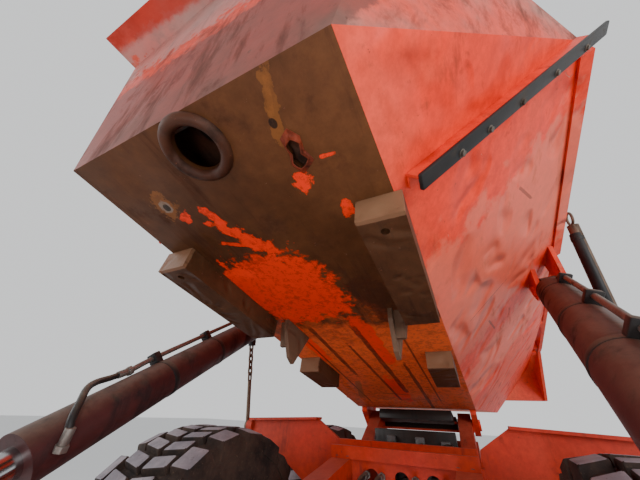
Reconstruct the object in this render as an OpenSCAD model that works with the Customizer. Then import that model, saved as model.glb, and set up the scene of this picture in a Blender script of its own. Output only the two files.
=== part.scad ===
// Articulated dump truck with three axles, its dump body partly raised.
// X points forward, Y to the truck's left, Z up. Millimetres.
// The origin is on the ground, midway between the foremost and the rearmost point.

/* [Wheels] */
// Outer diameter of a tyre over its lugs
tyre_d = 1600; // [1560:10:1660]
// Width of a tyre
tyre_w = 600; // [560:10:620]
// Diameter of the bead seat
seat_d = 635; // [600:5:680]
// Thickness of a tyre's side wall
tyre_wall = 45; // [30:1:60]
// Thickness of a tyre's crown under the lugs
crown_t = 50; // [35:1:70]
// Height of the tread lugs
lug_h = 45; // [30:1:60]
// Number of lugs on each shoulder of a tyre
lug_count = 24; // [18:1:28]
// Distance between the middle planes of the two tyres on one axle
track = 2258; // [2240:2:2280]
// Diameter of the wheel hub
hub_d = 420; // [380:5:460]
// Diameter of the spindle that carries a wheel
spindle_d = 200; // [160:5:240]

/* [Axles] */
// Distance from the front axle to the first bogie axle
wheelbase = 4167; // [4100:10:4250]
// Distance between the two bogie axles
bogie_base = 1670; // [1660:5:1720]
// Distance from the first bogie axle back to the dump hinge
hinge_back = 1630; // [1600:5:1650]
// Distance from the front axle back to the steering pin
pivot_back = 1300; // [1280:5:1350]
// Distance from the front axle to the face of the bumper
front_overhang = 2764; // [2700:10:2850]
// Diameter of an axle's tube
axle_tube_d = 240; // [200:5:260]

/* [Rear frame] */
// Height of the dump hinge above the ground
hinge_z = 1660; // [1650:5:1680]
// Distance from the middle to the inner face of a rail
rail_in = 344; // [330:2:350]
// Width of a rail
rail_w = 140; // [120:2:150]
// Height of a rail
rail_h = 320; // [280:5:340]
// Thickness of the plates that make brackets
plate_t = 25; // [18:1:30]
// Diameter of the dump hinge pin
hinge_pin_d = 90; // [70:2:110]

/* [Dump body] */
// Angle between the floor and the ground at rest
body_tilt = 10.2; // [8:0.2:12]
// Angle of the lowered floor, front end down
body_down = 9.8; // [9:0.2:10.4]
// Length of the floor ahead of the hinge
floor_front = 3263; // [3200:5:3300]
// Start of the rising tail ahead of the hinge
tail_start = 346; // [320:2:380]
// Length of the tail behind the hinge
tail_back = 1450; // [1400:5:1500]
// Rise of the tail floor
tail_rise = 11; // [10:0.5:13]
// Half width of the floor at its front edge
floor_w_front = 440; // [430:2:450]
// Half width of the floor where the tail starts
floor_w_rear = 530; // [520:2:540]
// Height of the floor's lower face over the hinge
floor_z = 55; // [50:1:60]
// Half width over the side walls
side_w = 1300; // [1290:2:1310]
// Height of the knee between lower and upper side wall
knee_z = 870; // [840:5:900]
// Height of the side wall's top at the front
top_front = 1800; // [1750:5:1850]
// Height of the side wall's top at the tail
top_rear = 1000; // [980:5:1050]
// Thickness of the body's plates
wall = 14; // [10:1:18]
// Forward lean of the front wall
front_lean = 11.3; // [9:0.1:12]
// Thickness of the pads under the floor
pad_t = 90; // [80:1:95]
// Outer diameter of the exhaust seat ring
ring_d = 200; // [180:2:220]
// Bore of the exhaust seat ring
ring_bore = 130; // [110:2:140]

/* [Hoist] */
// Place of the upper hoist pin ahead of the hinge
hoist_x = 1335; // [1300:5:1370]
// Height of the upper hoist pin over the hinge
hoist_z = 560; // [540:2:580]
// Distance of the upper hoist pin from the middle
hoist_w = 1150; // [1130:5:1160]
// Place of the lower hoist pin ahead of the first bogie axle
foot_x = 1700; // [1650:10:1750]
// Height of the lower hoist pin above the ground
foot_z = 1220; // [1200:5:1240]
// Distance of the lower hoist pin from the middle
foot_w = 720; // [700:5:740]
// Outer diameter of a hoist barrel
barrel_d = 180; // [160:2:200]
// Diameter of a hoist rod
hoist_rod_d = 100; // [80:2:110]
// Length of a barrel from its pin
barrel_l = 1880; // [1800:10:1900]
// Diameter of a hoist pin
hoist_pin_d = 70; // [60:2:80]

/* [Tailgate] */
// Place of the tailgate pivot behind the hinge
gate_back = 750; // [700:5:800]
// Height of the tailgate pivot over the hinge
gate_z = 1020; // [1000:5:1040]
// Opening of the tailgate at rest
gate_open = 8.7; // [8:0.1:9.4]
// Thickness of a tailgate arm
arm_t = 30; // [24:1:34]
// Diameter of the tailgate pivot pin
gate_pin_d = 60; // [50:2:66]
// Diameter of the chain's bar
chain_bar = 18; // [14:1:22]

/* [Front unit] */
// Half width of the front frame
front_rail_w = 420; // [400:5:440]
// Half width of the hood
hood_w = 590; // [570:5:600]
// Half width of the cab
cab_w = 780; // [760:5:800]
// Height of the cab's roof above the ground
roof_z = 3400; // [3350:10:3450]
// Height of the cab floor above the ground
cab_floor_z = 1620; // [1600:5:1640]
// Thickness of the cab's walls
cab_wall = 50; // [40:1:60]
// Thickness of the glass
glass_t = 8; // [6:1:10]
// Thickness of the hood's skin
hood_t = 20; // [15:1:25]

/* [Fits] */
// Clearance round a running pin
run_gap = 0.05; // [0.03:0.01:0.1]
// Clearance between still faces of neighbouring pieces
seat_gap = 0.3; // [0.2:0.1:0.5]
// Clearance between pieces that move past each other
move_gap = 8; // [6:1:12]

/* [Hidden] */
$fn = 96;
ORANGE = [0.83, 0.22, 0.09];
DARK = [0.12, 0.12, 0.13];
GREY = [0.42, 0.42, 0.43];
STEEL = [0.62, 0.60, 0.57];
BROWN = [0.36, 0.25, 0.18];
MAROON = [0.36, 0.13, 0.13];
TYRE = [0.15, 0.15, 0.15];
CLEAR = [0.6, 0.75, 0.8, 0.4];

// The whole truck is moved along X so that its box is centred on the origin.
axle_z = tyre_d / 2;
rib_h = 48;
gate_top = 60;
gate_low = -560;
gate_far = -(tail_back - gate_back) - move_gap - wall - rib_h;

// A tailgate point [x, z] from its pivot, turned to its place at rest, then as a place ahead of the hinge
function gate_local(x, z) = [
    -gate_back + x * cos(gate_open) + z * sin(gate_open), gate_z - x * sin(gate_open) + z * cos(gate_open)
];
function tilted_x(p) = p[0] * cos(body_tilt) - p[1] * sin(body_tilt);
tail_x = -hinge_back + min(tilted_x(gate_local(gate_far, gate_top)), tilted_x(gate_local(gate_far, gate_low)));
mid_x = -(wheelbase + front_overhang + tail_x) / 2;
front_x = mid_x + wheelbase;
rear_x = mid_x - bogie_base;
hinge_x = mid_x - hinge_back;
pivot_x = front_x - pivot_back;
nose_x = front_x + front_overhang;
tyre_in = (track - tyre_w) / 2;
rail_out = rail_in + rail_w;
frame_drop = pad_t - floor_z + 5;
outrigger_w = side_w + 140;
post_in = rail_in + 16;
post_out = rail_out - 14;

// Rotation of a direction [x, y, z] that raises the front end by an angle
function raised(p, a) = [p.x * cos(a) - p.z * sin(a), p.y, p.x * sin(a) + p.z * cos(a)];
function body_point(x, w, z) = [hinge_x, 0, hinge_z] + raised([x, w, z], body_tilt);
// A point of the rear frame's sloping plane, x ahead of the hinge
function frame_point(x, w, z) = [hinge_x, 0, hinge_z] + raised([x, w, z], -body_down);
function unit(v) = v / norm(v);

module both_sides() {
    children();
    mirror([0, 1, 0]) children();
}

// An outline in the XZ plane, thick along Y from y0 to y1
module across(y0, y1) translate([0, y1, 0]) rotate([90, 0, 0]) linear_extrude(y1 - y0) children();

// An outline in the YZ plane, thick along X from x0 to x1
module along_x(x0, x1) translate([x0, 0, 0]) rotate([90, 0, 90]) linear_extrude(x1 - x0) children();

module in_body() translate([hinge_x, 0, hinge_z]) rotate([0, -body_tilt, 0]) children();
module in_frame() translate([hinge_x, 0, hinge_z]) rotate([0, body_down, 0]) children();

// Places children with their Z axis running from p towards q
module aim(p, q) {
    d = q - p;
    translate(p) rotate([0, acos(d.z / norm(d)), atan2(d.y, d.x)]) children();
}

module rod(p, q, d) aim(p, q) cylinder(h = norm(q - p), d = d);

module y_cyl(y0, y1, d) translate([0, y0, 0]) rotate([-90, 0, 0]) cylinder(h = y1 - y0, d = d);

module y_ring(y0, y1, d, bore) difference() {
    y_cyl(y0, y1, d);
    y_cyl(y0 - 1, y1 + 1, bore);
}

module box(low, high) translate(low) cube(high - low);

function backwards(list) = [for (i = [len(list) - 1:-1:0]) list[i]];
function triangles(faces) = [for (f = faces) for (i = [1:len(f) - 2]) [f[0], f[i], f[i + 1]]];

// A flat or nearly flat panel between an outer and an inner loop of points, named in either sense
module panel(outer_loop, inner_loop) {
    across_it = inner_loop[0] - outer_loop[0];
    turns_right = cross(outer_loop[1] - outer_loop[0], outer_loop[2] - outer_loop[1]) * across_it > 0;
    outer = turns_right ? outer_loop : backwards(outer_loop);
    inner = turns_right ? inner_loop : backwards(inner_loop);
    c = len(outer);
    polyhedron(
        points = concat(outer, inner),
        faces = triangles(concat(
            [[for (i = [0:c - 1]) i]],
            [[for (i = [c - 1:-1:0]) c + i]],
            [for (i = [0:c - 1]) [i, c + i, c + (i + 1) % c, (i + 1) % c]]
        ))
    );
}

// A folded wall: facets over the outer points, the same over the inner points, and its rim
module folded_wall(outer, inner, facets, rim) {
    c = len(outer);
    r = len(rim);
    first = facets[0];
    normal = cross(outer[first[1]] - outer[first[0]], outer[first[2]] - outer[first[1]]);
    turns_right = normal * (inner[first[0]] - outer[first[0]]) > 0;
    skin = triangles(facets);
    faces = concat(
        skin,
        [for (f = skin) backwards([for (i = f) c + i])],
        triangles([for (i = [0:r - 1]) [rim[i], c + rim[i], c + rim[(i + 1) % r], rim[(i + 1) % r]]])
    );
    polyhedron(points = concat(outer, inner), faces = turns_right ? faces : [for (f = faces) backwards(f)]);
}

// Tyre: carcass with its cavity, turned about Y
module tyre_profile() {
    half = tyre_w / 2;
    seat_r = seat_d / 2 + seat_gap;
    bead = half * 0.78;
    crown_r = tyre_d / 2 - lug_h;
    difference() {
        polygon([
            [seat_r, -bead], [seat_r + 40, -bead], [seat_r + 90, -bead - 14], [crown_r * 0.72, -half], [crown_r * 0.9, -half * 0.97],
            [crown_r - 10, -half * 0.85], [crown_r, -half * 0.7], [crown_r, half * 0.7],
            [crown_r - 10, half * 0.85], [crown_r * 0.9, half * 0.97], [crown_r * 0.72, half],
            [seat_r + 90, bead + 14], [seat_r + 40, bead], [seat_r, bead]
        ]);
        polygon([
            [seat_r - 1, -bead + tyre_wall], [seat_r + 80, -bead + tyre_wall],
            [crown_r * 0.74, -half + tyre_wall], [crown_r - crown_t, -half * 0.72],
            [crown_r - crown_t, half * 0.72], [crown_r * 0.74, half - tyre_wall],
            [seat_r + 80, bead - tyre_wall], [seat_r - 1, bead - tyre_wall]
        ]);
    }
}

module tyre() color(TYRE) rotate([90, 0, 0]) union() {
    rotate_extrude() tyre_profile();
    difference() {
        cylinder(h = tyre_w * 0.86, d = tyre_d, center = true);
        cylinder(h = tyre_w, d = tyre_d - lug_h * 2 - 2, center = true);
    }
}

// Rim with its dished disc, hub and hub cap, turned about Y, hub towards +Y
module rim() color(ORANGE) {
    half = tyre_w / 2 * 0.78;
    seat_r = seat_d / 2;
    rotate([-90, 0, 0]) rotate_extrude() polygon([
        [seat_r - 25, -half - 25], [seat_r + 35, -half - 25], [seat_r + 35, -half - seat_gap], [seat_r, -half - seat_gap],
        [seat_r, half + seat_gap], [seat_r + 35, half + seat_gap], [seat_r + 35, half + 25], [seat_r - 25, half + 25],
        [seat_r - 25, 90], [hub_d / 2, 70], [hub_d / 2, half - 10], [hub_d / 2 - 40, half + 25],
        [60, half + 35], [0, half + 35], [0, 60], [spindle_d / 2 + run_gap, 60],
        [spindle_d / 2 + run_gap, -70], [hub_d / 2 - 30, -70], [hub_d / 2 - 10, 45], [seat_r - 25, 60]
    ]);
}

module at_wheel(x, side) translate([x, side * track / 2, axle_z]) scale([1, side, 1]) children();

// Axle: tube, differential bowl, drive nose and wheel spindles
module axle(x) color(GREY) translate([x, 0, axle_z]) {
    wheel_in = track / 2 - tyre_w / 2 * 0.78;
    difference() {
        union() {
            y_cyl(-wheel_in, wheel_in, axle_tube_d);
            sphere(d = axle_tube_d * 2);
            both_sides() y_cyl(wheel_in - 110, wheel_in + 60, axle_tube_d + 90);
            both_sides() y_cyl(wheel_in, track / 2 + 50, spindle_d);
        }
        translate([0, 0, -axle_tube_d]) cube([600, 600, 60], center = true);
    }
    rotate([0, 90, 0]) cylinder(h = axle_tube_d + 130, d1 = 260, d2 = 140);
}

// Rear frame
hitch_z = 1000;
roll_d = 260;
roll_back = 430;
rail_dip = 100;
rail_l = (pivot_x - roll_back - 640 - hinge_x) / cos(body_down) + 22;

module rail_outline() polygon([
    [-220, -frame_drop - rail_h * 0.7], [0, -frame_drop - rail_h], [rail_l - 900, -frame_drop - rail_h],
    [rail_l, -frame_drop - rail_h * 0.8], [rail_l, -frame_drop], [920, -frame_drop], [700, -frame_drop - rail_dip],
    [-60, -frame_drop - rail_dip], [-220, -frame_drop - rail_dip - 40]
]);

module rear_frame() color(ORANGE) difference() {
    union() {
        both_sides() in_frame() difference() {
            across(rail_in, rail_out) rail_outline();
            across(rail_in + 16, rail_out - 16) offset(delta = -20) rail_outline();
        }
        in_frame() for (p = [[-60, -rail_dip - 80], [rail_l - 1150, -100], [rail_l - 120, -100]])
            translate([p.x, 0, p.y - frame_drop]) rotate([90, 0, 0]) cylinder(h = rail_in * 2, d = 150, center = true);
        roll_bearing();
        both_sides() bogie_hanger();
    }
    translate([pivot_x - 620, 0, hitch_z]) rotate([0, 90, 0]) cylinder(h = 500, d = roll_d + run_gap * 2);
}

module roll_bearing() {
    translate([pivot_x - roll_back - 190, 0, hitch_z]) rotate([0, 90, 0]) cylinder(h = 190, d = roll_d + 130);
    hull() {
        translate([pivot_x - roll_back - 190, 0, hitch_z]) rotate([0, 90, 0]) cylinder(h = 60, d = roll_d + 120, $fn = 32);
        translate([pivot_x - roll_back - 640, 0, hitch_z - 60]) cube([40, rail_in * 2 + 60, 240], center = true);
    }
}

module hoist_feet() color(ORANGE) both_sides() {
    foot = [mid_x + foot_x, foot_w, foot_z];
    for (y = [foot_w - 90 - plate_t, foot_w + 90])
        translate([foot.x, 0, foot.z]) across(y, y + plate_t)
            hull() {
                circle(d = 150, $fn = 32);
                translate([-160, seat_gap - 308]) square([320, 40]);
            }
    box([foot.x - 160, rail_out + seat_gap, foot_z - 345], [foot.x + 160, foot_w + 90 + plate_t, foot_z - 308]);
    box([foot.x - 160, rail_out + seat_gap, foot_z - 420], [foot.x - 130, foot_w, foot_z - 340]);
}

bogie_x = mid_x - bogie_base / 2;
beam_in = rail_out + 40;
beam_w = 130;
bogie_shaft_d = 150;
bogie_shaft_z = 920;

module bogie_hanger() difference() {
    across(rail_in + 4, rail_out - 20) polygon([
        [bogie_x - 330, 1290], [bogie_x + 330, 1180], [bogie_x + 120, bogie_shaft_z - 110],
        [bogie_x - 120, bogie_shaft_z - 110]
    ]);
    translate([bogie_x, 0, bogie_shaft_z]) y_cyl(rail_in - 5, rail_out, bogie_shaft_d);
}

module bogie_beams() color(ORANGE) {
    translate([bogie_x, 0, bogie_shaft_z]) y_cyl(-beam_in - beam_w, beam_in + beam_w, bogie_shaft_d - seat_gap * 2);
    both_sides() difference() {
        across(beam_in, beam_in + beam_w) union() {
            polygon([
                [rear_x - 130, axle_z - 60], [rear_x + 130, axle_z - 150], [bogie_x, axle_z - 60],
                [mid_x - 130, axle_z - 150], [mid_x + 130, axle_z - 60], [mid_x + 130, axle_z + 90],
                [bogie_x + 170, bogie_shaft_z + 140], [bogie_x - 170, bogie_shaft_z + 140], [rear_x - 130, axle_z + 90]
            ]);
            translate([mid_x, axle_z]) circle(d = axle_tube_d + 120);
            translate([rear_x, axle_z]) circle(d = axle_tube_d + 120);
        }
        for (x = [mid_x, rear_x]) translate([x, 0, axle_z]) y_cyl(beam_in - 5, beam_in + beam_w + 5, axle_tube_d + seat_gap * 2);
    }
}

// Cross beam, an upturned channel on the rails, its web plate and the hinge posts
beam_at = 1025;
beam_top = 78;

module cross_beam() color(ORANGE) {
    difference() {
        union() {
            in_frame() translate([beam_at, 0, -frame_drop]) {
                box([-90, -rail_out, seat_gap], [90, rail_out, 14]);
                box([-90, -rail_out, 0 + seat_gap], [-76, rail_out, beam_top]);
                box([76, -rail_out, 0 + seat_gap], [90, rail_out, beam_top]);
            }
            in_frame() box([beam_at + 40, -rail_in + seat_gap, -frame_drop - 190], [beam_at + 60, rail_in - seat_gap, -frame_drop]);
        }
        in_frame() for (y = [-200, 0, 200])
            translate([beam_at, y, -frame_drop - 95]) rotate([0, 90, 0]) cylinder(h = 100, d = 95);
    }
    both_sides() hinge_post();
}

module hinge_post() in_frame() difference() {
    across(post_in, post_out) difference() {
        hull() {
            circle(d = hinge_pin_d + 90, $fn = 48);
            translate([-60, -frame_drop - rail_dip + seat_gap]) square([700, 12]);
        }
        polygon([[170, -108], [470, -108], [170, -42]]);
    }
    y_cyl(post_in - 5, post_out + 5, hinge_pin_d + run_gap * 2);
}

// Outriggers over the bogie: they anchor the tailgate chains
outrigger_x = mid_x - 750;

module outriggers() color(ORANGE) both_sides() {
    along_x(outrigger_x - 12, outrigger_x + 12) difference() {
        polygon([
            [rail_out + seat_gap, 1250], [rail_out + seat_gap, 1440], [rail_out + 16, 1530], [700, 1658],
            [outrigger_w - 40, 1628], [outrigger_w, 1610], [outrigger_w, 1480], [outrigger_w - 90, 1440],
            [1130, 1430], [830, 1250]
        ]);
    }
    hull() {
        box([outrigger_x - 60, 700, 1652], [outrigger_x + 60, 701, 1670]);
        box([outrigger_x - 60, outrigger_w - 42, 1620], [outrigger_x + 60, outrigger_w - 40, 1640]);
    }
    box([outrigger_x - 110, rail_out + seat_gap, 1250], [outrigger_x + 110, rail_out + 20, 1440]);
    translate([outrigger_x, 0, chain_low.z]) {
        y_cyl(outrigger_w - 60, outrigger_w + 1, 90);
        y_cyl(outrigger_w - 60, chain_w + 25, chain_pin_d);
    }
}

// Head of the hitch with its ears for the steering rods, and its roll tube
king_d = 120;
steer_base = [850, 560];
steer_eye = [-230, 400];
steer_z = hitch_z - 34;
steer_pin_d = 50;
ear_gap = 40;

module hitch() color(GREY) {
    difference() {
        union() {
            translate([pivot_x, 0, hitch_z - 230]) cylinder(h = 460, d = 300);
            translate([pivot_x - roll_back + 20, 0, hitch_z]) rotate([0, 90, 0]) cylinder(h = roll_back - 20, d = 340);
            for (z = [steer_z - ear_gap - plate_t, steer_z + ear_gap]) translate([pivot_x, 0, z]) linear_extrude(plate_t)
                polygon([[-300, -steer_eye.y - 50], [-300, steer_eye.y + 50], [-180, steer_eye.y + 50], [-100, 140],
                    [-100, -140], [-180, -steer_eye.y - 50]]);
        }
        translate([pivot_x, 0, hitch_z - 300]) cylinder(h = 600, d = king_d + run_gap * 2);
    }
    translate([pivot_x - roll_back - 160, 0, hitch_z]) rotate([0, 90, 0]) cylinder(h = 190, d = roll_d);
}

// Front frame with the fork that holds the king pin
module front_frame() color(DARK) {
    difference() {
        union() {
            both_sides() across(front_rail_w - 120, front_rail_w) polygon([
                [pivot_x + 640, 900], [pivot_x + 640, 1250], [front_x + 600, 1180], [nose_x - 260, 1120],
                [nose_x - 260, 860], [front_x + 500, 800 + axle_tube_d], [front_x - 400, 940]
            ]);
            for (z = [hitch_z - 330, hitch_z + 250]) fork(z);
            difference() {
                translate([0, 0, hitch_z - 330]) linear_extrude(660) polygon([
                    [pivot_x + 260, -190], [pivot_x + 260, 190], [pivot_x + 760, front_rail_w - 100],
                    [pivot_x + 760, -front_rail_w + 100]
                ]);
                translate([0, 0, hitch_z - 250]) linear_extrude(500) polygon([
                    [pivot_x + 290, -160], [pivot_x + 290, 160], [pivot_x + 730, front_rail_w - 130],
                    [pivot_x + 730, -front_rail_w + 130]
                ]);
            }
            both_sides() across(front_rail_w - 120, front_rail_w - 90) hull() {
                translate(hood_pin) circle(d = 70, $fn = 32);
                translate([nose_x - 340, 1090]) square([75, 20]);
            }
            for (x = [front_x + 700, nose_x - 420]) box([x, -front_rail_w + 10, 900], [x + 80, front_rail_w - 10, engine_low]);
            both_sides() box([front_x - 130, front_rail_w - 120, axle_z + axle_tube_d / 2 + seat_gap], [front_x + 130, front_rail_w, 1100]);
            both_sides() for (z = [steer_z - ear_gap - plate_t, steer_z + ear_gap])
                box([pivot_x + steer_base.x - 60, front_rail_w - 10, z],
                    [pivot_x + steer_base.x + 60, steer_base.y + 50, z + plate_t]);
        }
        translate([pivot_x, 0, hitch_z - 400]) cylinder(h = 800, d = king_d);
    }
    translate([pivot_x, 0, hitch_z - 340]) cylinder(h = 680, d = king_d);
    both_sides() translate([hood_pin.x, 0, hood_pin.y]) y_cyl(front_rail_w - 110, front_rail_w - 40, hood_pin_d);
    both_sides() translate([pivot_x + steer_base.x, steer_base.y, steer_z - ear_gap - plate_t - 8])
        cylinder(h = 2 * (ear_gap + plate_t) + 16, d = steer_pin_d);
}

module fork(z) translate([0, 0, z]) linear_extrude(80) hull() {
    translate([pivot_x, 0]) circle(d = 280, $fn = 48);
    translate([pivot_x + 260, -190]) square([20, 380]);
}

module front_axle() axle(front_x);

module bogie_axles() {
    for (x = [mid_x, rear_x]) axle(x);
    color(GREY) {
        rod([rear_x + 300, 0, axle_z], [mid_x - 150, 0, axle_z], 90);
        rod([mid_x + 300, 0, axle_z], [pivot_x - roll_back - 842, 0, hitch_z - 60], 90);
    }
}

engine_low = 1080;

module engine_block() color(GREY) box(
    [front_x + 600, -front_rail_w + 120 + seat_gap, engine_low + seat_gap],
    [nose_x - 700, front_rail_w - 120 - seat_gap, 1800]
);

// Bumper with its tow pin bore
tow_r = 30;

module bumper() color(DARK) difference() {
    union() {
        box([nose_x - 60, -1180, 640], [nose_x, 1180, 1060]);
        both_sides() box([nose_x - 260 + seat_gap, front_rail_w - 110, 870], [nose_x - 60, front_rail_w - 10, 1050]);
        box([nose_x - 260, -130, 660], [nose_x - 60, 130, 700]);
        box([nose_x - 260, -130, 800], [nose_x - 60, 130, 840]);
    }
    translate([nose_x - 150, 0, 650]) cylinder(h = 220, r = tow_r);
}

// Decks beside the hood, fenders over the front tyres, and the base that carries the cab
base_low = cab_floor_z - 90;
deck_z = cab_floor_z + 45;

module front_decks() color(DARK) {
    box([pivot_x + cab_rear, -cab_w, base_low], [pivot_x + cab_rear + cab_len, cab_w, cab_floor_z - seat_gap]);
    both_sides() {
        translate([front_x, 0, axle_z]) intersection() {
            y_ring(tyre_in - 20, tyre_in + tyre_w, tyre_d + 190, tyre_d + 160);
            across(tyre_in - 30, tyre_in + tyre_w + 10) polygon([[-1000, 300], [-1000, 1200], [1000, 1200], [1000, 300], [0, 0]]);
        }
        box([front_x - 900, cab_w + seat_gap, deck_z - 15], [front_x + 900, tyre_in + tyre_w - 10, deck_z]);
        box([front_x + cab_rear + cab_len - pivot_back + seat_gap, hood_w + move_gap, deck_z - 15], [front_x + 900, cab_w + 20, deck_z]);
        for (x = [front_x - 560, front_x + 300]) {
            box([x, front_rail_w + seat_gap, 1100], [x + 60, cab_w - 60, base_low + 10]);
            box([x, cab_w - 80, 1450], [x + 60, tyre_in - 10, base_low + 10]);
            box([x, cab_w + seat_gap, 1450], [x + 60, tyre_in - 10, deck_z - 5]);
        }
    }
}

// Steps on the left, fuel tank on the right
module steps_and_tanks() color(DARK) {
    for (i = [0:3]) box([front_x + 960, 820, 560 + i * 330], [front_x + 1320, 1330, 590 + i * 330]);
    for (y = [800, 1330]) box([front_x + 980, y, 540], [front_x + 1300, y + 20, 1640]);
    box([front_x + 1000, front_rail_w + seat_gap, 1010], [front_x + 1280, 810, 1070]);
    box([front_x + 960, -1330, 620], [front_x + 1700, -800, 1500]);
    box([front_x + 1000, -810, 1010], [front_x + 1600, -front_rail_w - seat_gap, 1070]);
}

// Cab
cab_rear = 250;
cab_len = 1500;

module cab_side_outline(inset = 0) offset(delta = -inset) polygon([
    [pivot_x + cab_rear, cab_floor_z], [pivot_x + cab_rear, roof_z - 90], [pivot_x + cab_rear + cab_len - 220, roof_z - 90],
    [pivot_x + cab_rear + cab_len, 2350], [pivot_x + cab_rear + cab_len, cab_floor_z]
]);

door_x0 = 330;
door_x1 = 1080;
door_pin = [pivot_x + door_x0 - 12, cab_w + 26];
door_pin_d = 24;
door_knuckles = [1960, 2860];

module cab_shell() color(ORANGE) {
    cab_walls();
    for (z = door_knuckles) {
        translate([door_pin.x, door_pin.y, z]) cylinder(h = 110, d = door_pin_d);
        box([door_pin.x - 60, cab_w - 5, z], [door_pin.x + 5, door_pin.y + 5, z + 20]);
    }
}

module cab_walls() difference() {
    across(-cab_w, cab_w) cab_side_outline();
    across(-cab_w + cab_wall, cab_w - cab_wall) cab_side_outline(cab_wall);
    translate([pivot_x, 0, 0]) {
        box([door_x0, cab_w - cab_wall - 5, cab_floor_z + 60], [door_x1, cab_w + 5, roof_z - 160]);
        box([door_x0, -cab_w - 5, 2300], [cab_len - 100, -cab_w + cab_wall + 5, roof_z - 180]);
        box([cab_rear - 5, -cab_w + 130, 2250], [cab_rear + cab_wall + 5, cab_w - 130, roof_z - 180]);
        box([cab_rear + cab_len - 360, -cab_w + 110, 2400], [cab_rear + cab_len + 50, cab_w - 110, roof_z - 200]);
    }
}

module cab_roof() color(ORANGE) {
    box([pivot_x + cab_rear - 30, -cab_w - 20, roof_z - 90 + seat_gap],
        [pivot_x + cab_rear + cab_len - 120, cab_w + 20, roof_z - 20]);
    box([pivot_x + cab_rear + 200, -cab_w + 200, roof_z - 20], [pivot_x + cab_rear + cab_len - 420, cab_w - 200, roof_z]);
}

module cab_glass() color(CLEAR) translate([pivot_x, 0, 0]) {
    box([door_x0 + seat_gap, -cab_w + 15, 2300 + seat_gap], [cab_len - 100 - seat_gap, -cab_w + 15 + glass_t, roof_z - 180 - seat_gap]);
    box([cab_rear + 15, -cab_w + 130 + seat_gap, 2250 + seat_gap], [cab_rear + 15 + glass_t, cab_w - 130 - seat_gap, roof_z - 180 - seat_gap]);
    translate([-pivot_x, 0, 0]) intersection() {
        across(-cab_w + 110 + seat_gap, cab_w - 110 - seat_gap) difference() {
            cab_side_outline(15);
            cab_side_outline(15 + glass_t);
        }
        box([pivot_x + cab_rear + cab_len - 350, -cab_w, 2400 + seat_gap], [pivot_x + cab_rear + cab_len, cab_w, roof_z - 200 - seat_gap]);
    }
}

module cab_seat() color(DARK) translate([pivot_x + cab_rear + 520, 0, cab_floor_z + cab_wall + seat_gap]) {
    cylinder(h = 330, d = 240);
    box([-230, -250, 330], [270, 250, 450]);
    box([-300, -240, 400], [-190, 240, 1050]);
}

module cab_console() color(DARK) translate([pivot_x + cab_rear + cab_len - 350, 0, cab_floor_z + cab_wall + seat_gap]) {
    box([0, -380, 0], [180, 380, 620]);
    translate([0, 0, 560]) rotate([0, -35, 0]) {
        cylinder(h = 240, d = 70);
        translate([0, 0, 240]) rotate_extrude() translate([200, 0]) circle(d = 32);
        translate([0, 0, 240]) cube([400, 40, 16], center = true);
    }
}

module mirrors() color(DARK) both_sides() {
    box([pivot_x + 1560, cab_w + seat_gap, 2460], [pivot_x + 1640, cab_w + 14, 2540]);
    rod([pivot_x + 1600, cab_w + 10, 2500], [pivot_x + 1800, 1300, 2560], 36);
    box([pivot_x + 1790, 1200, 2300], [pivot_x + 1830, 1400, 2750]);
}

// Hood, open below, with its grille
hood_rear = cab_rear + cab_len + 40;
module hood_outline(inset = 0) offset(delta = -inset) polygon([
    [pivot_x + hood_rear, 1250], [pivot_x + hood_rear, 2330], [pivot_x + hood_rear + 500, 2290],
    [nose_x - 420, 1900], [nose_x - 230, 1780], [nose_x - 200, 1250]
]);

hood_pin = [nose_x - 270, 1230];
hood_pin_d = 40;

module hood() color(ORANGE) difference() {
    union() {
        difference() {
            across(-hood_w, hood_w) hood_outline();
            across(-hood_w + hood_t, hood_w - hood_t) hood_outline(hood_t);
        }
        both_sides() across(front_rail_w - 80, front_rail_w - 50) union() {
            translate(hood_pin) circle(d = 80);
            polygon([hood_pin - [40, 0], hood_pin + [-10, 100], [nose_x - 210, 1360], [nose_x - 210, 1255], hood_pin + [30, -25]]);
        }
    }
    translate([hood_pin.x, 0, hood_pin.y]) both_sides() y_cyl(front_rail_w - 90, front_rail_w - 40, hood_pin_d + run_gap * 2);
    difference() {
        box([pivot_x + hood_rear - 10, -hood_w + hood_t, 1200], [nose_x - 200 - hood_t, hood_w - hood_t, 1300]);
        both_sides() box([hood_pin.x - 60, front_rail_w - 80, 1100], [nose_x, front_rail_w - 50, 1400]);
    }
    box([nose_x - 222, -hood_w + 90, 1370], [nose_x - 150, hood_w - 90, 1720]);
    both_sides() for (i = [0:4])
        box([front_x + 1000, hood_w - hood_t - 5, 1450 + i * 70], [front_x + 1500, hood_w + 5, 1480 + i * 70]);
}

module grille() color(DARK) {
    difference() {
        box([nose_x - 222, -hood_w + 90 + seat_gap, 1370 + seat_gap], [nose_x - 210, hood_w - 90 - seat_gap, 1720 - seat_gap]);
        for (i = [0:7]) box([nose_x - 230, -hood_w + 120, 1390 + i * 40], [nose_x - 205, hood_w - 120, 1410 + i * 40]);
    }
}

module cab_door() color(ORANGE) difference() {
    union() {
        door_plate();
        for (z = door_knuckles) {
            translate([door_pin.x, door_pin.y, z + 25]) cylinder(h = 70, d = door_pin_d + 16);
            box([door_pin.x, door_pin.y + 4, z + 25], [pivot_x + door_x0 + 90, door_pin.y + 16, z + 95]);
            box([pivot_x + door_x0 + 50, cab_w - 5, z + 25], [pivot_x + door_x0 + 90, door_pin.y + 16, z + 95]);
        }
    }
    for (z = door_knuckles) translate([door_pin.x, door_pin.y, z]) cylinder(h = 110, d = door_pin_d + run_gap * 2);
}

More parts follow.
